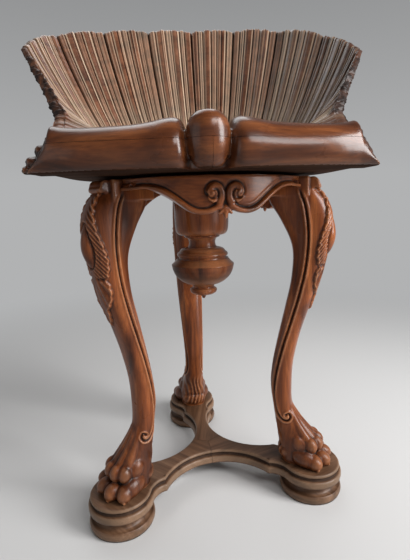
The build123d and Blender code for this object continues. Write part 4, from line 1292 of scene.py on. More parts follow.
@dataclass
class ApronRails:
    """Three curved rails whose edge beads curl into a pair of volutes.

    Attributes:
        face: radius of the outer face.
        scroll: place along the face and height of the bead of one half, from the leg to the volute's eye.
        band: radius of the bead.
        eye: place and height of a volute's eye.
        leaf: place, height, half length and lean in degrees of the blades between the volutes.
        quirk: depth, distance from the bead and half width of the groove beside it.
        second: the same of the groove beyond that one.
        hollow: depth, radius and half width of the hollow round a volute's eye.
        voxel: size of the skin's faces.
    """

    face: float = 140.0
    scroll: Points = (
        (118, 436.5), (100, 437), (84, 437.5), (70, 434.5), (58, 427.5), (47, 419), (37, 412), (27, 409.2),
        (17, 410.2), (8.6, 414.6), (4.4, 421.5), (3.8, 429), (6.4, 435.2), (11.4, 437.6), (16.2, 435.8),
        (18.2, 431.4), (16.2, 428.0),
    )
    band: float = 3.0
    eye: tuple[float, float] = (13.4, 429.6)
    leaf: Points = ((0.0, 408.5, 8.0, 0.0), (4.6, 411.5, 6.4, 28.0), (-4.6, 411.5, 6.4, -28.0))
    quirk: tuple[float, float, float] = (1.5, 1.5, 1.9)
    second: tuple[float, float, float] = (0.7, 4.6, 1.8)
    hollow: tuple[float, float, float] = (1.6, 6.4, 2.4)
    voxel: float = 1.0

    def on_face(self, flat: np.ndarray, proud: float) -> np.ndarray:
        """Lays flat points on the rail's face.

        Args:
            flat: place along the face and height.
            proud: how far they stand out of it.

        Returns:
            The points, in a frame whose X runs out of the rail's middle.
        """
        return np.column_stack([np.sqrt(self.face**2 - flat[:, 0] ** 2) + proud, flat[:, 0], flat[:, 1]])

    def build(self, finish: bpy.types.Material) -> None:
        """Carves one rail and sets three of it between the legs.

        Args:
            finish: their wood.
        """
        form = solid_copy("apron_rail_front")
        turn = Matrix.Rotation(radians(-RAIL_AZIMUTHS["front"]), 3, "Z")
        bmesh.ops.rotate(form, cent=(0, 0, 0), matrix=turn, verts=form.verts)
        line = smooth_line(self.scroll, 8)
        share = np.linspace(0, 1, len(line))
        radii = self.band * (0.72 + 0.28 * ramp(share, 0.1, 0.5)) * (1 - 0.25 * ramp(share, 0.75, 1.0))
        for side in (-1, 1):
            half = line * (side, 1)
            rod(form, self.on_face(half, 0.6), radii)
            place = self.on_face(np.array([self.eye]) * (side, 1), 1.6)[0]
            lump(form, tuple(place), (4.6, 4.4, 4.4))
        self.add_leaf(form)
        rail = Carving.from_forms(form, self.voxel)
        rail.smooth(2)
        self.carve(rail, line)
        rail.note_wear(0.5, 2.4)
        rail.stand_round(RAIL_AZIMUTHS, "scrolled_rail", "apron_rail", finish)

    def add_leaf(self, form: bmesh.types.BMesh) -> None:
        """Adds the small leaf that hangs below the gap between the volutes.

        Args:
            form: where it goes.
        """
        for side, height, length, lean in self.leaf:
            matrix = (
                Matrix.Translation((self.face - 0.5, side, height))
                @ Matrix.Rotation(radians(lean), 4, "X")
                @ Matrix.Diagonal((3.6, 3.0, length, 1))
            )
            bmesh.ops.create_icosphere(form, subdivisions=3, radius=1, matrix=matrix)

    @staticmethod
    def groove(distance: np.ndarray, sizes: tuple[float, float, float]) -> np.ndarray:
        """Groove of some depth, place and half width, as heights below the face."""
        depth, place, half_width = sizes
        return -depth * bump(distance, place, half_width)

    def carve(self, rail: Carving, line: np.ndarray) -> None:
        """Cuts the quirk beside the bead and hollows the volutes.

        Args:
            rail: the skinned rail.
            line: the bead's line on the face.
        """
        points = rail.points()
        flat = np.column_stack([np.abs(points[:, 1]), points[:, 2]])
        signed, along = line_distance(flat, line)
        size = np.abs(signed)
        out = np.hypot(points[:, 0], points[:, 1])
        faced = ramp(out, self.face - 4, self.face - 1.5)
        from_eye = np.hypot(flat[:, 0] - self.eye[0], flat[:, 1] - self.eye[1])
        quirk = self.groove(size - self.band, self.quirk)
        second = self.groove(size - self.band, self.second) * (1 - ramp(along, 0.38, 0.5))
        hollow = self.groove(from_eye, self.hollow) * (size > self.band)
        rail.push(faced * (quirk + second + hollow))
        rail.smooth(1, 0.35)


@dataclass
class TurnedDrop:
    """Turned hub under the frame board and the drop that hangs from it.

    Attributes:
        hub: radius and height of the hub's turned profile, from its bore round to its bore.
        drop: radius and height of the drop's profile, from the tip up to its socket.
        dust: how pale the faces that look up are, from 0 to 1.
    """

    hub: Points = (
        (14.0, 437.9), (14.0, 437.9), (14.0, 348.2), (14.0, 348.2), (20.8, 348.2), (20.8, 348.2),
        (20.4, 356), (19.2, 360), (18.9, 364), (20.6, 368.4), (24.0, 370.4), (24.0, 370.4), (25.0, 370.6),
        (25.6, 371.8), (25.4, 373.0), (25.4, 373.0), (27.5, 373.2), (27.5, 373.2), (33.0, 374.4),
        (36.4, 378.0), (37.8, 383.5), (38.4, 391), (38.6, 402), (38.8, 420), (38.8, 437.9), (38.8, 437.9),
        (14.0, 437.9),
    )
    drop: Points = (
        (0, 279.2), (0, 279.2), (1.6, 279.8), (2.9, 282.2), (4.6, 284.4), (8.8, 285.6), (14.6, 286.8),
        (18.6, 289.4), (19.8, 292.2), (19.2, 294.6), (17.6, 295.8), (17.6, 295.8), (16.6, 296.0),
        (16.6, 296.0), (15.8, 298.0), (16.6, 300.4), (19.4, 302.4), (19.4, 302.4), (20.6, 302.6),
        (20.6, 302.6), (25.6, 303.8), (33.0, 308.2), (39.6, 314.8), (43.4, 322.4), (44.8, 328.0),
        (45.3, 331.0), (45.3, 331.0), (44.9, 331.9), (42.6, 333.8), (40.0, 336.6), (38.2, 338.8),
        (37.4, 340.0), (37.4, 340.0), (34.8, 340.2), (34.8, 340.2), (34.4, 342.4), (35.2, 343.6),
        (35.2, 343.6), (36.2, 343.8), (36.8, 345.6), (36.2, 347.6), (34.8, 348.8), (34.8, 348.8),
        (33.6, 349.4), (32.6, 351.2), (30.2, 353.6), (26.4, 355.0), (23.2, 355.6), (21.2, 355.6),
        (21.2, 355.6), (21.2, 348.0), (21.2, 348.0), (14.0, 348.0), (14.0, 348.0), (14.0, 316.0),
        (14.0, 316.0), (0, 316.0), (0, 316.0),
    )
    dust: float = 0.6

    def build(self, finish: bpy.types.Material) -> None:
        """Turns hub and drop.

        Args:
            finish: their wood.
        """
        for name, profile, node in (("turned_hub", self.hub, "hub"), ("turned_drop", self.drop, "drop")):
            turned = Carving.from_bmesh(lathe(smooth_line(profile, 4), 128))
            turned.note_wear(0.5, 2.5)
            turned.note("tint", self.dust * ramp(turned.normals()[:, 2], 0.25, 0.8))
            turned.finish(name, Body.BASE, (node,), Slot.FRAME_WOOD, finish)


@dataclass
class ShellStaves:
    """Fluted shell of ten staves that fan out from behind the front boss.

    Attributes:
        umbo: Y of the point that the flutes fan out from.
        front: Y of the joint with the front block.
        floor: height of the bowl's floor.
        half_width: half the width of the rim.
        back: Y of the rim's back.
        height: height of the rim.
        corner: Y of the rim's side corners and how far they lie below its top.
        waist: X, Y and height of the rim's waist.
        ear: X and height of the rim's front end.
        board: half width, Y where the sides end and back Y of the board that carries the shell.
        squareness: how square the rim's plan is; 2 is an ellipse.
        thick: thickness at the rim.
        bowl: share of reach and of rise along any flute's inside.
        joints: joints between the staves of one side, degrees from the middle.
        pitch: about how wide a rib is, degrees.
        rhythm: widths of neighbouring ribs, against each other.
        depth: depth of the grooves between ribs and along the joints.
        split: half the width of the split in a broad rib, against half the rib's width.
        plain: fan angles between which the flutes die away, degrees.
        rubbed: heights between which the bowl's rubbed floor ends.
        glue: how far the shell stands above the glue line.
        lip: how far the rim's edges are rounded down.
        arch: how far a stave's rim falls towards its joints.
        low_arch: fan angles between which that fall grows weaker, degrees.
        dent: depth, fan angle and half width in degrees of the dent in the right rim.
        groove: half the width of a joint's groove, degrees.
        deep: reach at which the flutes have their full depth.
        shallow: least share of that depth.
        faint: share of the wear that shows outside.
        bark: fan angles between which the broken edge starts and ends, degrees.
        blank: reach of the first point of a stave's blank.
        step: degrees between lines of points.
        seed: of the uneven flutes.
    """

    umbo: float = -150.0
    front: float = -120.0
    floor: float = 488.0
    half_width: float = 234.0
    back: float = 174.0
    height: float = 705.0
    corner: tuple[float, float] = (15.0, 77.0)
    waist: tuple[float, float, float] = (170.0, -79.0, 523.0)
    ear: tuple[float, float] = (166.0, 494.0)
    board: tuple[float, float, float] = (166.0, -60.0, 96.0)
    squareness: float = 2.4
    thick: float = 14.0
    bowl: Points = (
        (0.06, 0.02), (0.36, 0.0), (0.58, 0.1), (0.7, 0.28), (0.82, 0.54), (0.92, 0.78), (1.0, 1.0),
    )
    joints: tuple[float, ...] = (0.0, 13.0, 26.0, 40.0, 54.0, 83.8)
    pitch: float = 2.2
    rhythm: tuple[float, ...] = (1.0, 0.7, 1.25, 0.85, 1.4, 0.95)
    depth: tuple[float, float] = (2.6, 4.2)
    split: float = 0.16
    plain: tuple[float, float] = (66.0, 73.0)
    rubbed: tuple[float, float] = (496.0, 600.0)
    glue: float = 0.2
    lip: float = 1.6
    arch: float = 4.2
    low_arch: tuple[float, float] = (46.0, 56.0)
    dent: tuple[float, float, float] = (7.2, 50.0, 16.0)
    groove: float = 0.5
    deep: float = 150.0
    shallow: float = 0.12
    faint: float = 0.4
    bark: Points = ((53.5, 58.0), (66.0, 71.0))
    blank: int = 100
    step: float = 0.11
    seed: int = 7

    def plan_reach(self, angle: float, half_width: float, side: float, back: float) -> float:
        """Distance from the umbo to a rounded-square plan.

        Args:
            angle: direction from the umbo, degrees.
            half_width: half the plan's width.
            side: Y where its straight sides end.
            back: Y of its back.

        Returns:
            The distance.
        """
        near, far = 0.0, 2 * (half_width + back - self.umbo)
        for _ in range(40):
            middle = (near + far) / 2
            x = middle * sin(radians(angle))
            y = self.umbo + middle * cos(radians(angle))
            depth = max(y - side, 0) / (back - side)
            if abs(x / half_width) ** self.squareness + depth**self.squareness < 1:
                near = middle
            else:
                far = middle
        return near

    def rim(self, angle: float) -> tuple[float, float]:
        """Finds the rim.

        Args:
            angle: the fan angle, degrees, on either side.

        Returns:
            Its reach from the umbo and its height.
        """
        corner_y, drop = self.corner
        corner_angle = degrees(atan2(self.half_width, corner_y - self.umbo))
        waist_angle = degrees(atan2(self.waist[0], self.waist[1] - self.umbo))
        if angle <= corner_angle:
            reach = self.plan_reach(angle, self.half_width, corner_y, self.back)
            return reach, self.height - drop * (angle / corner_angle) ** 3
        corner = (self.half_width, corner_y, self.height - drop)
        ear = (self.ear[0], self.front, self.ear[1])
        start, end = (corner, self.waist) if angle <= waist_angle else (self.waist, ear)
        run = (end[0] - start[0], end[1] - start[1])
        gap = (start[0], start[1] - self.umbo)
        way = (sin(radians(angle)), cos(radians(angle)))
        reach = (gap[0] * run[1] - gap[1] * run[0]) / (way[0] * run[1] - way[1] * run[0])
        along = (self.umbo + reach * way[1] - start[1]) / run[1]
        return reach, start[2] + (end[2] - start[2]) * min(along, 1)

    def section(self, angle: float, dip: float) -> tuple[np.ndarray, np.ndarray]:
        """Upright section along a fan angle.

        Args:
            angle: the fan angle, degrees, on either side.
            dip: how far the rim dips there.

        Returns:
            Reach and height of the closed section's points, inside first, and the zone of each.
        """
        reach, height = self.rim(abs(angle))
        height -= dip
        foot = self.plan_reach(abs(angle), *self.board)
        inner = reach - self.thick
        shares = smooth_line(self.bowl, 12)
        inside = np.column_stack([inner * shares[:, 0], self.floor + (height - self.floor) * shares[:, 1]])
        wall = []
        for share, lift in reversed(self.bowl[3:]):
            least = foot + (reach - foot) * lift / 2
            wall.append((max(inner * share + self.thick, least), GLUE_LINE + (height - GLUE_LINE) * lift))
        outside = smooth_line([*wall, (foot, GLUE_LINE + self.glue)], 9)
        across = np.linspace(0, 1, 9)[1:-1]
        crown = self.lip * np.sin(pi * across) - self.lip
        top = np.column_stack([inside[-1, 0] + (outside[0, 0] - inside[-1, 0]) * across, height + crown])
        inside[-1, 1] -= self.lip
        outside[0, 1] -= self.lip
        start = inside[0, 0]
        bottom = GLUE_LINE + self.glue
        under = np.array([(start + (foot - start) * share, bottom) for share in (0.66, 0.33, 0)])
        sides = {Zone.INSIDE: inside, Zone.RIM: top, Zone.OUTSIDE: outside, Zone.UNDERSIDE: under}
        zones = np.repeat([zone.value for zone in sides], [len(side) for side in sides.values()])
        return np.vstack(list(sides.values())), zones

    def flutes(self, angles: np.ndarray, start: float, end: float, seed: int) -> tuple[np.ndarray, ...]:
        """Uneven flutes of one stave.

        Args:
            angles: where to read them, degrees from the middle.
            start: the stave's edge nearer the middle.
            end: its other edge.
            seed: of this stave.

        Returns:
            The cut's height, in millimetres, the tint and the wear at each angle; the wear's pale lines
            along the arrises are partly wear and partly painted highlights.
        """
        luck = np.random.RandomState(self.seed + seed)
        count = max(round((end - start) / self.pitch), 1)
        widths = np.array([self.rhythm[index % len(self.rhythm)] for index in range(count)])
        edges = start + (end - start) * np.concatenate([[0], np.cumsum(widths)]) / widths.sum()
        rib = np.clip(np.searchsorted(edges, angles, "right") - 1, 0, count - 1)
        middle = 2 * (angles - edges[rib]) / (edges[rib + 1] - edges[rib]) - 1
        flat = ramp(widths, 0.8, 1.2)[rib]
        reeds = 0.5 - 0.5 * np.cos(2 * pi * (middle + 1))

        def draw(what: Luck) -> np.ndarray:
            """Draws what each rib gets, at each angle."""
            return luck.uniform(*what.value, count)[rib]

        depth = self.depth[0] * draw(Luck.DEPTH)
        crown = draw(Luck.CROWN)
        level = draw(Luck.LEVEL)
        tone = draw(Luck.REED_TONE) * (1 - flat) + draw(Luck.RIB_TONE) * flat
        line = draw(Luck.SPLIT_PLACE)
        bright = draw(Luck.REED_WEAR)
        split = draw(Luck.SPLIT_DEPTH) * flat * bump(middle, line, self.split)
        split += 0.9 * (1 - flat) * (1 - reeds)
        # Pale lines along the arrises and reeds: partly wear, partly painted highlights of the glossy
        # arrises.
        arris_wear_and_highlight = bump(np.abs(middle), 0.74, 0.2) * flat + bright * (1 - flat) * reeds
        arris_wear_and_highlight += 0.8 * flat * bump(middle, line - 0.3, self.split)
        cut = level - depth * np.abs(middle) ** crown - split
        groove = ramp(np.abs(middle), 0.86, 1.0) + (0.3 + 0.5 * flat) * split
        return cut, tone, 0.85 * arris_wear_and_highlight - groove

    def dips(self, angles: np.ndarray, swell: np.ndarray, side: int) -> np.ndarray:
        """How far the rim of a stave dips.

        Args:
            angles: where to read it, degrees from the middle.
            swell: share of the stave's own arch there.
            side: -1 for the left, 1 for the right.

        Returns:
            The dip at each angle.
        """
        fade = 1 - 0.6 * ramp(angles, *self.low_arch)
        dips = self.arch * (1 - swell**0.6) * fade + 0.7 * np.sin(angles * 2.1 + side)
        if side > 0:
            depth, centre, half_width = self.dent
            dips += depth * bump(angles, centre, half_width)
        return np.maximum(dips, 0) + 0.2

    def spin_blank(self, side: int, start: float, end: float, steps: int) -> bmesh.types.BMesh:
        """Spins a row of points, as many as a section has, round the umbo.

        Args:
            side: -1 for the left, 1 for the right.
            start: where the row starts, degrees from the middle.
            end: where it ends.
            steps: steps between them.

        Returns:
            The flat blank of a stave.
        """
        blank = bmesh.new()
        umbo = (0, self.umbo, 0)
        points = len(self.section(0, 0)[0])
        ring = [blank.verts.new((0, self.umbo + self.blank + index, 0)) for index in range(points)]
        edges = [blank.edges.new(pair) for pair in zip(ring, ring[1:] + ring[:1])]
        turn = Matrix.Rotation(-side * radians(start), 3, "Z")
        bmesh.ops.rotate(blank, cent=umbo, matrix=turn, verts=ring)
        bmesh.ops.spin(
            blank, geom=ring + edges, cent=umbo, axis=(0, 0, 1), dvec=(0, 0, 0),
            angle=-side * radians(end - start), steps=steps,
        )
        return blank

    def build_stave(self, side: int, number: int) -> Carving:
        """Makes one stave.

        Args:
            side: -1 for the left, 1 for the right.
            number: place from the middle, from 1.

        Returns:
            The stave.
        """
        start, end = self.joints[number - 1], self.joints[number]
        steps = int((end - start) / self.step)
        angles = np.linspace(start, end, steps + 1)
        share = (angles - start) / (end - start)
        swell = np.sin(pi * share)
        cut, tone, worn = self.flutes(angles, start, end, 10 * number + side)
        plain = ramp(angles, *self.plain)
        cut, tone, worn = cut * (1 - plain), tone * (1 - plain), worn * (1 - plain)
        joint = bump(np.minimum(angles - start, end - angles), 0, self.groove)
        inside = cut + 1.2 * (swell - 1) - (self.depth[1] - self.depth[0]) * joint
        outside = 0.55 * cut + 2.0 * swell - 2.4 * joint - 2.0

        stave = self.spin_blank(side, start, end, steps)
        dips = self.dips(angles, swell, side)
        sections = [self.section(angle, dip) for angle, dip in zip(angles, dips)]
        wear_layer = stave.verts.layers.float.new("wear")
        tint_layer = stave.verts.layers.float.new("tint")
        shapes = []
        for index, (points, zones) in enumerate(sections):
            run = np.roll(points, -1, 0) - np.roll(points, 1, 0)
            run /= np.maximum(np.hypot(run[:, 0], run[:, 1]), 1e-6)[:, None]
            out = np.column_stack([-run[:, 1], run[:, 0]])
            strength = np.clip(points[:, 0] / self.deep, self.shallow, 1)
            depths = {Zone.INSIDE: inside[index], Zone.OUTSIDE: outside[index]}
            depths[Zone.RIM] = inside[index] * 0.7
            cuts = np.array([depths.get(zone, 0.0) for zone in Zone])[zones]
            shapes.append(points + out * (cuts * strength)[:, None])
        for vert in stave.verts:
            away = vert.co - Vector((0, self.umbo, 0))
            place = int(round(hypot(away.x, away.y))) - self.blank
            angle = degrees(atan2(side * away.x, away.y))
            index = min(max(int(round((angle - start) / (end - start) * steps)), 0), steps)
            reach, height = shapes[index][place]
            zone = sections[index][1][place]
            turn = side * radians(angles[index])
            vert.co = (reach * sin(turn), self.umbo + reach * cos(turn), height)
            # This wear carries the flutes' pale arris lines, which are partly painted highlights.
            wear = float(np.clip(worn[index] - 1.1 * joint[index], -1, 1))
            floor_wear = 0.4 * (1 - ramp(height, *self.rubbed)) * (1 - plain[index])
            if zone < Zone.OUTSIDE:
                vert[wear_layer] = wear
                vert[tint_layer] = float(tone[index] + floor_wear)
            else:
                vert[wear_layer] = self.faint * wear
                vert[tint_layer] = 0.3 * float(tone[index])
        bmesh.ops.holes_fill(stave, edges=open_edges(stave), sides=0)
        saw(stave, (0, self.front, 0), (0, 1, 0))
        bmesh.ops.recalc_face_normals(stave, faces=stave.faces)
        return Carving.from_bmesh(stave)

    def wood(self, side: int, number: int) -> Wood:
        """Wood of one stave, with painted light and shade: the left staves lighter as if lit, the right
        ones darker as if in shade, the further right, the darker.

        Args:
            side: -1 for the left, 1 for the right.
            number: place from the middle, from 1.

        Returns:
            The wood.
        """
        middle = (self.joints[number - 1] + self.joints[number]) / 2
        # Painted light and shade: left staves brightened up to 1.12 as if lit, right staves darkened down
        # to 0.5 as if in shade.
        painted_light_and_shade = 1.12 - 0.62 * float(ramp(side * middle, -12.0, 42.0))

        def shaded(*colour: float) -> Colour:
            """Colour scaled by this stave's painted light and shade."""
            return tuple(part * painted_light_and_shade for part in colour)

        return Wood(
            f"stave_wood_{'left' if side < 0 else 'right'}_{number}", turn=(0, 0, 90 - side * middle),
            dark=shaded(0.06, 0.022, 0.011), mid=shaded(0.155, 0.06, 0.03),
            light=shaded(0.24, 0.1, 0.052), worn=shaded(0.55, 0.43, 0.305),
            gloss=0.3, rub=0.8, shift=0.13 * number + 0.4 * side,
        )

    def roughen(self, stave: Carving) -> None:
        """Breaks up the edge between the corner and the waist like rock.

        Args:
            stave: the last stave of a side.
        """
        points = stave.points()
        away = np.hypot(points[:, 0], points[:, 1] - self.umbo)
        angle = np.degrees(np.arctan2(np.abs(points[:, 0]), points[:, 1] - self.umbo))
        known = np.linspace(50, 83, 67)
        rims = np.array([self.rim(value) for value in known])
        reach = np.interp(angle, known, rims[:, 0])
        height = np.interp(angle, known, rims[:, 1])
        near = 1 - ramp(np.hypot(away - reach + 6, points[:, 2] - height), 9, 20)
        mask = near * between(angle, *self.bark)
        lumps = 2.6 * rough(points, 9.0) + 1.6 * rough(points, 4.2, 3.3) - 1.6
        stave.push(mask * lumps)
        for name, bark in (("tint", -0.55), ("wear", 0.0)):
            kept = stave.mesh.attributes[name].data
            values = np.zeros(len(points), np.float32)
            kept.foreach_get("value", values)
            crevice = 0.35 * lumps if name == "wear" else 0
            kept.foreach_set("value", (values * (1 - mask) + mask * (bark + crevice)).astype(np.float32))

    def build(self, finishes: dict[tuple[int, int], bpy.types.Material]) -> None:
        """Makes all staves.

        Args:
            finishes: wood of each stave, by side and number.
        """
        for label, side in (("left", -1), ("right", 1)):
            for number in range(1, len(self.joints)):
                stave = self.build_stave(side, number)
                if number == len(self.joints) - 1:
                    self.roughen(stave)
                stave.finish(
                    f"fluted_stave_{label}_{number}", Body.SEAT, (f"shell_stave_{label}_{number}",),
                    Slot.SEAT_WOOD, finishes[side, number],
                )


@dataclass
class SeatFront:
    """Polished rolls and boss along the seat's front, and the board below the shell.

    Attributes:
        stations: X, front Y and the heights of top and back above the underside of one roll.
        section: share of the way back, further step back and share of the height along a roll's section.
        joint_y: Y of the joint with the shell.
        boss: X and Y of the boss's axis.
        egg: radius and height of the boss's turned profile.
        boss_width: how much wider than deep the boss is.
        bark: place and sizes of the lumps on the broken ends.
        end: half the width at which the broken ends start.
        overlap: how far the boards are pushed together to make one skin with the rolls.
        sunk: how far their tops lie below the glue line.
        lap: how far they reach under the rolls.
        joint_x: X of the joint between the boards.
        saw: half the width of a joint's line.
        voxel: size of the skin's faces.
    """

    stations: Points = (
        (0, -158, 29, 30), (13, -159, 30, 32), (18, -163, 34, 35), (22, -175, 43, 36.5), (26, -183, 49, 37),
        (33, -187, 51.2, 37), (44, -187, 50.4, 37), (57, -185, 47.8, 37), (76, -182.5, 45.6, 37),
        (102, -180, 44.4, 37), (128, -176, 44.2, 38), (146, -171.5, 45.4, 41), (156, -168.5, 47, 44.5),
        (160, -167.3, 41.5, 39.5), (166, -165.5, 30.5, 29), (172, -163.7, 20, 18.5), (178, -162, 9.5, 8),
        (181, -161, 4, 3),
    )
    section: Points = (
        (0.0, 9.0, 0.0), (0.0, 4.2, 0.05), (0.0, 1.0, 0.19), (0.0, 0.0, 0.37), (0.03, 0.0, 0.54),
        (0.1, 0.0, 0.72), (0.22, 0.0, 0.885), (0.36, 0.0, 0.975), (0.49, 0.0, 1.0),
    )
    joint_y: float = -120.0
    boss: tuple[float, float] = (0.0, -172.0)
    egg: Points = (
        (0, 452.3), (0, 452.3), (8.5, 452.8), (13.6, 456.0), (17.4, 463.5), (19.4, 474.0), (19.8, 484.0),
        (19.0, 492.0), (16.2, 499.6), (10.6, 505.0), (4.0, 507.0), (0, 507.2), (0, 507.2),
    )
    boss_width: float = 1.1
    bark: Points = (
        (-178, -146, 463, 8, 11, 7), (-171, -139, 475, 7, 10, 7), (-184, -150, 456, 5, 9, 4),
        (-164, -134, 486, 5, 8, 5), (170, -138, 474, 4.5, 7, 5), (175, -146, 462, 4, 8, 4),
    )
    end: float = 155.0
    overlap: float = 0.6
    sunk: float = 0.8
    lap: float = 1.0
    joint_x: float = 3.0
    saw: float = 0.16
    voxel: float = 1.25

    def ring(self, x: float, front: float, top: float, back: float) -> np.ndarray:
        """Closed section of the rolls.

        Args:
            x: where it stands.
            front: Y of its front.
            top: height of its top.
            back: height at its back.

        Returns:
            The section's points.
        """
        depth = self.joint_y - front
        face = [(front + depth * share + step, top * lift) for share, step, lift in self.section]
        face += [(front + 0.74 * depth, 0.55 * top + 0.45 * back), (self.joint_y, back)]
        line = smooth_line(face, 6)
        rest = [(self.joint_y, 0.5 * back), (self.joint_y, 0), (front + 0.6 * depth, 0)]
        flat = np.vstack([line, rest])
        return np.column_stack([np.full(len(flat), x), flat[:, 0], SEAT_BOTTOM + np.maximum(flat[:, 1], 0)])

    def forms(self) -> bmesh.types.BMesh:
        """Puts rolls, boss and boards together.

        Returns:
            The forms.
        """
        form = bmesh.new()
        half = smooth_line(self.stations, 5)
        rows = np.vstack([half[:0:-1] * (-1, 1, 1, 1), half])
        skin_rings(form, [self.ring(*row) for row in rows])
        for x, y, z, *sizes in self.bark:
            lump(form, (x, y, z), tuple(sizes))
        egg = lathe(smooth_line(self.egg, 5), 72)
        bmesh.ops.scale(egg, vec=(self.boss_width, 1, 1), verts=egg.verts)
        bmesh.ops.translate(egg, vec=(*self.boss, 0), verts=egg.verts)
        parts = [egg]
        for side, shift in (("left", self.overlap), ("right", -self.overlap)):
            board = solid_copy(f"seat_board_{side}")
            saw(board, (0, self.joint_y - self.lap, 0), (0, 1, 0), hollowed=True)
            upper = [vert for vert in board.verts if vert.co.z > GLUE_LINE - 1]
            bmesh.ops.translate(board, vec=(0, 0, -self.sunk), verts=upper)
            bmesh.ops.translate(board, vec=(shift, 0, 0), verts=board.verts)
            parts.append(board)
        for part in parts:
            mesh = bpy.data.meshes.new("part")
            part.to_mesh(mesh)
            part.free()
            form.from_mesh(mesh)
            bpy.data.meshes.remove(mesh)
        return form

    def shape(self, front: Carving) -> None:
        """Breaks up the ends of the rolls, darkens the rolls' lower part as painted shade and notes wear.

        Args:
            front: the skinned front and boards.
        """
        front.smooth(3)
        points = front.points()
        facing = np.abs(front.normals()[:, 0])
        ends = ramp(facing, 0.4, 0.7) * ramp(np.abs(points[:, 0]), self.end, self.end + 6)
        ends *= points[:, 1] < self.joint_y + 2
        lumps = 1.8 * rough(points, 8.0) + 1.1 * rough(points, 3.6, 5.1) - 1.0
        front.push(ends * lumps)
        # Painted shade: the rolls get darker towards their underside, as if in shadow; the broken ends are
        # darkened as bark.
        low = ramp(-points[:, 2], -GLUE_LINE, -SEAT_BOTTOM) * (points[:, 1] < self.joint_y)
        front.note("tint", np.minimum(-0.5 * low, -0.85 * ends))
        front.note_wear(0.6, 3.2, 0.7)

    def sawn(self, front: Carving, cuts: tuple[Points, ...]) -> Carving:
        """One piece of the front.

        Args:
            front: the whole front.
            cuts: a point of each joint's plane and the direction in which the piece lies.

        Returns:
            The piece.
        """
        piece = bmesh.new()
        piece.from_mesh(front.mesh)
        for place, way in cuts:
            saw(piece, Vector(place) + Vector(way) * self.saw, way, hollowed=True)
        bmesh.ops.recalc_face_normals(piece, faces=piece.faces)
        return Carving.from_bmesh(piece)

    def build(self, finish: bpy.types.Material, underside_shade: bpy.types.Material) -> None:
        """Shapes the front and saws it into the block and the two boards.

        Args:
            finish: their wood.
            underside_shade: unpolished wood of the underside, dark as painted shade.
        """
        front = Carving.from_forms(self.forms(), self.voxel)
        self.shape(front)
        glue = (0, 0, GLUE_LINE)
        block = self.sawn(front, ((glue, (0, 0, 1)),))
        block.finish("front_rolls", Body.SEAT, ("front_block",), Slot.SEAT_WOOD, finish)
        for side, way in (("left", -1), ("right", 1)):
            board = self.sawn(front, ((glue, (0, 0, -1)), ((self.joint_x, 0, 0), (way, 0, 0))))
            solids = (f"seat_board_{side}",)
            # The boards' downward faces take the underside wood, whose dark colour is painted shade.
            board.finish(f"shaped_board_{side}", Body.SEAT, solids, Slot.SEAT_WOOD, finish, underside_shade)
        bpy.data.meshes.remove(front.mesh)


@dataclass(frozen=True)
class Lamp:
    """Soft rectangular lamp, in metres and watts.

    Attributes:
        name: what it is for.
        place: where it hangs.
        target: what it shines on.
        size: its width and height.
        power: its power.
    """

    name: str
    place: tuple[float, float, float]
    target: tuple[float, float, float]
    size: tuple[float, float]
    power: float

    def hang(self) -> None:
        """Hangs the lamp."""
        data = bpy.data.lights.new(self.name, "AREA")
        data.shape = "RECTANGLE"
        data.size, data.size_y = self.size
        data.energy = self.power
        lamp = bpy.data.objects.new(self.name, data)
        lamp.location = self.place
        way = Vector(self.target) - Vector(self.place)
        lamp.rotation_euler = way.to_track_quat("-Z", "Y").to_euler()
        bpy.context.scene.collection.objects.link(lamp)


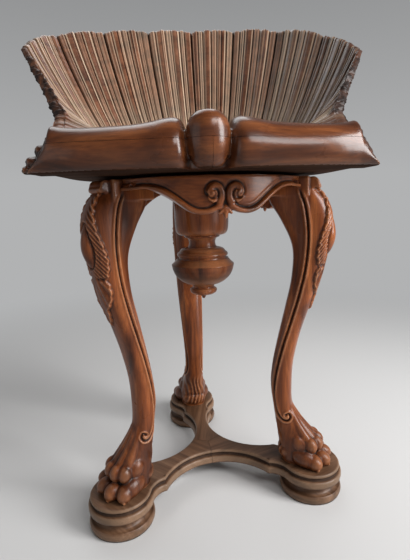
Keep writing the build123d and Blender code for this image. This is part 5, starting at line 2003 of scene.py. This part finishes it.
@dataclass(frozen=True)
class Stage:
    """Floor, light and camera.

    Attributes:
        eye: the camera's place in millimetres.
        yaw: how far it looks to the right of +Y, degrees.
        pitch: how far it looks down, degrees.
        roll: its turn about its own line of sight, degrees.
        focal: focal length as a share of the picture's height.
        film: height of its film, millimetres.
        ground: the floor's colour.
        spread: the floor's radius, metres.
        fade: how far from the stool the floor starts and ends to run into the backdrop, metres.
        backdrop: colour far behind the stool.
        zenith: colour high above it.
        sky: colour of the light from all round.
        lamps: a large one on the right, a weak one on the left, one above the back, a small one in front.
    """

    eye: tuple[float, float, float] = (-30.7, -583.6, 420.7)
    yaw: float = 3.249
    pitch: float = 11.053
    roll: float = -1.711
    focal: float = 403.88 / 560
    film: float = 36.0
    ground: Colour = (0.56, 0.555, 0.55)
    spread: float = 20.0
    fade: tuple[float, float] = (0.4, 1.5)
    backdrop: Colour = (0.44, 0.445, 0.45)
    zenith: Colour = (0.1, 0.102, 0.105)
    sky: Colour = (0.165, 0.167, 0.17)
    lamps: tuple[Lamp, ...] = (
        Lamp("key", (1.4, -0.75, 1.05), (0.0, -0.05, 0.48), (0.7, 1.3), 48.0),
        Lamp("fill", (-1.7, -1.0, 0.9), (0.0, 0.0, 0.4), (1.4, 1.4), 3.0),
        Lamp("top", (-0.2, 0.9, 1.9), (0.0, 0.0, 0.55), (1.4, 1.0), 12.0),
        Lamp("front", (0.55, -0.95, 1.25), (0.08, -0.18, 0.48), (0.5, 0.35), 6.0),
    )

    def build(self) -> None:
        """Sets the stage."""
        self.add_camera()
        self.add_floor()
        for lamp in self.lamps:
            lamp.hang()
        self.add_sky()
        bpy.context.scene.view_settings.view_transform = "Standard"

    def add_camera(self) -> None:
        """Puts the camera at the picture's viewpoint."""
        yaw, pitch = radians(self.yaw), radians(self.pitch)
        forward = Vector((sin(yaw) * cos(pitch), cos(yaw) * cos(pitch), -sin(pitch)))
        right = forward.cross((0, 0, 1)).normalized()
        up = right.cross(forward)
        turn = radians(self.roll)
        across = right * cos(turn) + up * sin(turn)
        upward = up * cos(turn) - right * sin(turn)
        data = bpy.data.cameras.new("camera")
        data.sensor_fit = "VERTICAL"
        data.sensor_height = self.film
        data.lens = self.film * self.focal
        data.clip_start = 0.05
        camera = bpy.data.objects.new("camera", data)
        facing = Matrix((across, upward, -forward)).transposed().to_4x4()
        camera.matrix_world = Matrix.Translation(Vector(self.eye) * MM) @ facing
        bpy.context.scene.collection.objects.link(camera)
        bpy.context.scene.camera = camera

    def add_floor(self) -> None:
        """Lays a plain pale floor that runs into the backdrop's colour far from the stool."""
        plane = bmesh.new()
        bmesh.ops.create_circle(plane, cap_ends=True, radius=self.spread, segments=96)
        mesh = bpy.data.meshes.new("floor")
        plane.to_mesh(mesh)
        plane.free()
        material, nodes, shader = new_material("floor_pale")
        nodes.feed(shader, {"Base Color": (*self.ground, 1), "Roughness": 0.8})
        far = nodes.add("Emission", {"Color": (*self.backdrop, 1)}).outputs["Emission"]
        away = nodes.add("VectorMath", {0: nodes.place()}, operation="LENGTH").outputs["Value"]
        span = {"Value": away, "From Min": self.fade[0], "From Max": self.fade[1]}
        fade = nodes.add("MapRange", span, interpolation_type="SMOOTHSTEP").outputs["Result"]
        share = nodes.combine("MULTIPLY", fade, self.seen(nodes))
        self.show(nodes, share, shader.outputs["BSDF"], far, "Material Output")
        mesh.materials.append(material)
        floor = bpy.data.objects.new("floor", mesh)
        bpy.context.scene.collection.objects.link(floor)

    def add_sky(self) -> None:
        """Lights the stool from all round and shows the backdrop behind it."""
        world = bpy.context.scene.world or bpy.data.worlds.new("world")
        bpy.context.scene.world = world
        world.use_nodes = True
        nodes = Nodes(world.node_tree)
        sky = world.node_tree.nodes["Background"]
        nodes.feed(sky, {"Color": (*self.sky, 1)})
        way = nodes.add("TexCoord").outputs["Generated"]
        height = nodes.add("SeparateXYZ", {"Vector": way}).outputs["Z"]
        colour = nodes.shades(height, ((0.05, self.backdrop), (0.85, self.zenith)))
        far = nodes.add("Background", {"Color": colour}).outputs["Background"]
        self.show(nodes, self.seen(nodes), sky.outputs["Background"], far, "World Output")

    @staticmethod
    def seen(nodes: Nodes) -> bpy.types.NodeSocket:
        """Value that is 1 where the backdrop is looked at, straight or in a shiny or clear surface.

        Args:
            nodes: where it goes.

        Returns:
            The value.
        """
        path = nodes.add("LightPath").outputs
        value = path["Is Camera Ray"]
        for name in ("Is Glossy Ray", "Is Transmission Ray"):
            value = nodes.combine("MAXIMUM", value, path[name])
        return value

    @staticmethod
    def show(
        nodes: Nodes,
        share: bpy.types.NodeSocket,
        near: bpy.types.NodeSocket,
        far: bpy.types.NodeSocket,
        output: str,
    ) -> None:
        """Blends two shaders.

        Args:
            nodes: where they are.
            share: how much of the far one shows.
            near: the near one.
            far: the far one.
            output: name of the output that shows them.
        """
        mix = nodes.add("MixShader", {0: share, 1: near, 2: far}).outputs["Shader"]
        nodes.feed(nodes.tree.nodes[output], {"Surface": mix})


def dress_solids(finishes: dict[str, bpy.types.Material]) -> None:
    """Gives the solids that are shown as they are their finish.

    Args:
        finishes: material of each node.
    """
    for node, material in finishes.items():
        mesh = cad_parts[node].data
        mesh.materials.clear()
        mesh.materials.append(material)
        log.info("%s: solid with %s", node, material.name)


def main() -> None:
    """Builds the stool's pieces in order."""
    logging.basicConfig(level=logging.INFO, format="%(name)s %(message)s")
    frame_wood = Wood("frame_wood_across").material()
    leg_wood = Wood("frame_wood_upright", turn=Grain.UPRIGHT.value, shift=0.31).material()
    seat_wood = Wood(
        "seat_wood_across", dark=(0.035, 0.0105, 0.005), mid=(0.115, 0.033, 0.0105),
        light=(0.225, 0.072, 0.022), gloss=0.2, coat=0.3, shift=0.77,
    ).material()
    # Underside wood: unpolished, with dark colours that paint the shade under the seat.
    underside_shade_wood = Wood(
        "seat_wood_underside_painted_shade", dark=(0.03, 0.014, 0.008), mid=(0.06, 0.028, 0.016), light=(0.09, 0.045, 0.026),
        gloss=0.75, coat=0.0, polish=0.05, shift=0.77,
    ).material()
    iron = Metal("black_iron", (0.06, 0.055, 0.05), (0.05, 0.026, 0.016), 0.35, 0.7, 0.6).material()
    steel = Metal("screw_steel", (0.32, 0.3, 0.28), (0.14, 0.1, 0.08), 0.3, 0.55, 0.45).material()
    leather = Leather("washer_leather").material()
    arm_woods = {
        name: Wood(
            f"stretcher_wood_{name}", dark=(0.05, 0.023, 0.012), mid=(0.145, 0.073, 0.039),
            light=(0.23, 0.125, 0.072), worn=(0.42, 0.29, 0.19), turn=(0, 0, azimuth),
            gloss=0.34, coat=0.06,
        ).material()
        for name, azimuth in LEG_AZIMUTHS.items()
    }
    staves = ShellStaves()
    stave_woods = {
        (side, number): staves.wood(side, number).material()
        for side in (-1, 1)
        for number in range(1, len(staves.joints))
    }
    FootPads().build(arm_woods["left"])
    Stretcher().build(arm_woods)
    CabrioleLegs().build(leg_wood)
    ApronRails().build(frame_wood)
    TurnedDrop().build(leg_wood)
    staves.build(stave_woods)
    SeatFront().build(seat_wood, underside_shade_wood)
    dress_solids(
        {
            "foot_screws": steel, "stretcher_dowels": frame_wood, "rail_dowels": frame_wood,
            "frame_board": frame_wood, "frame_board_screws": steel, "spindle": iron, "stop_pin": steel,
            "nut": iron, "nut_screws": steel, "thrust_washer": leather, "seat_plate": iron,
            "plate_screws": steel, "seat_board_dowels": seat_wood,
        }
    )
    Stage().build()


if __name__ == "__main__":
    main()
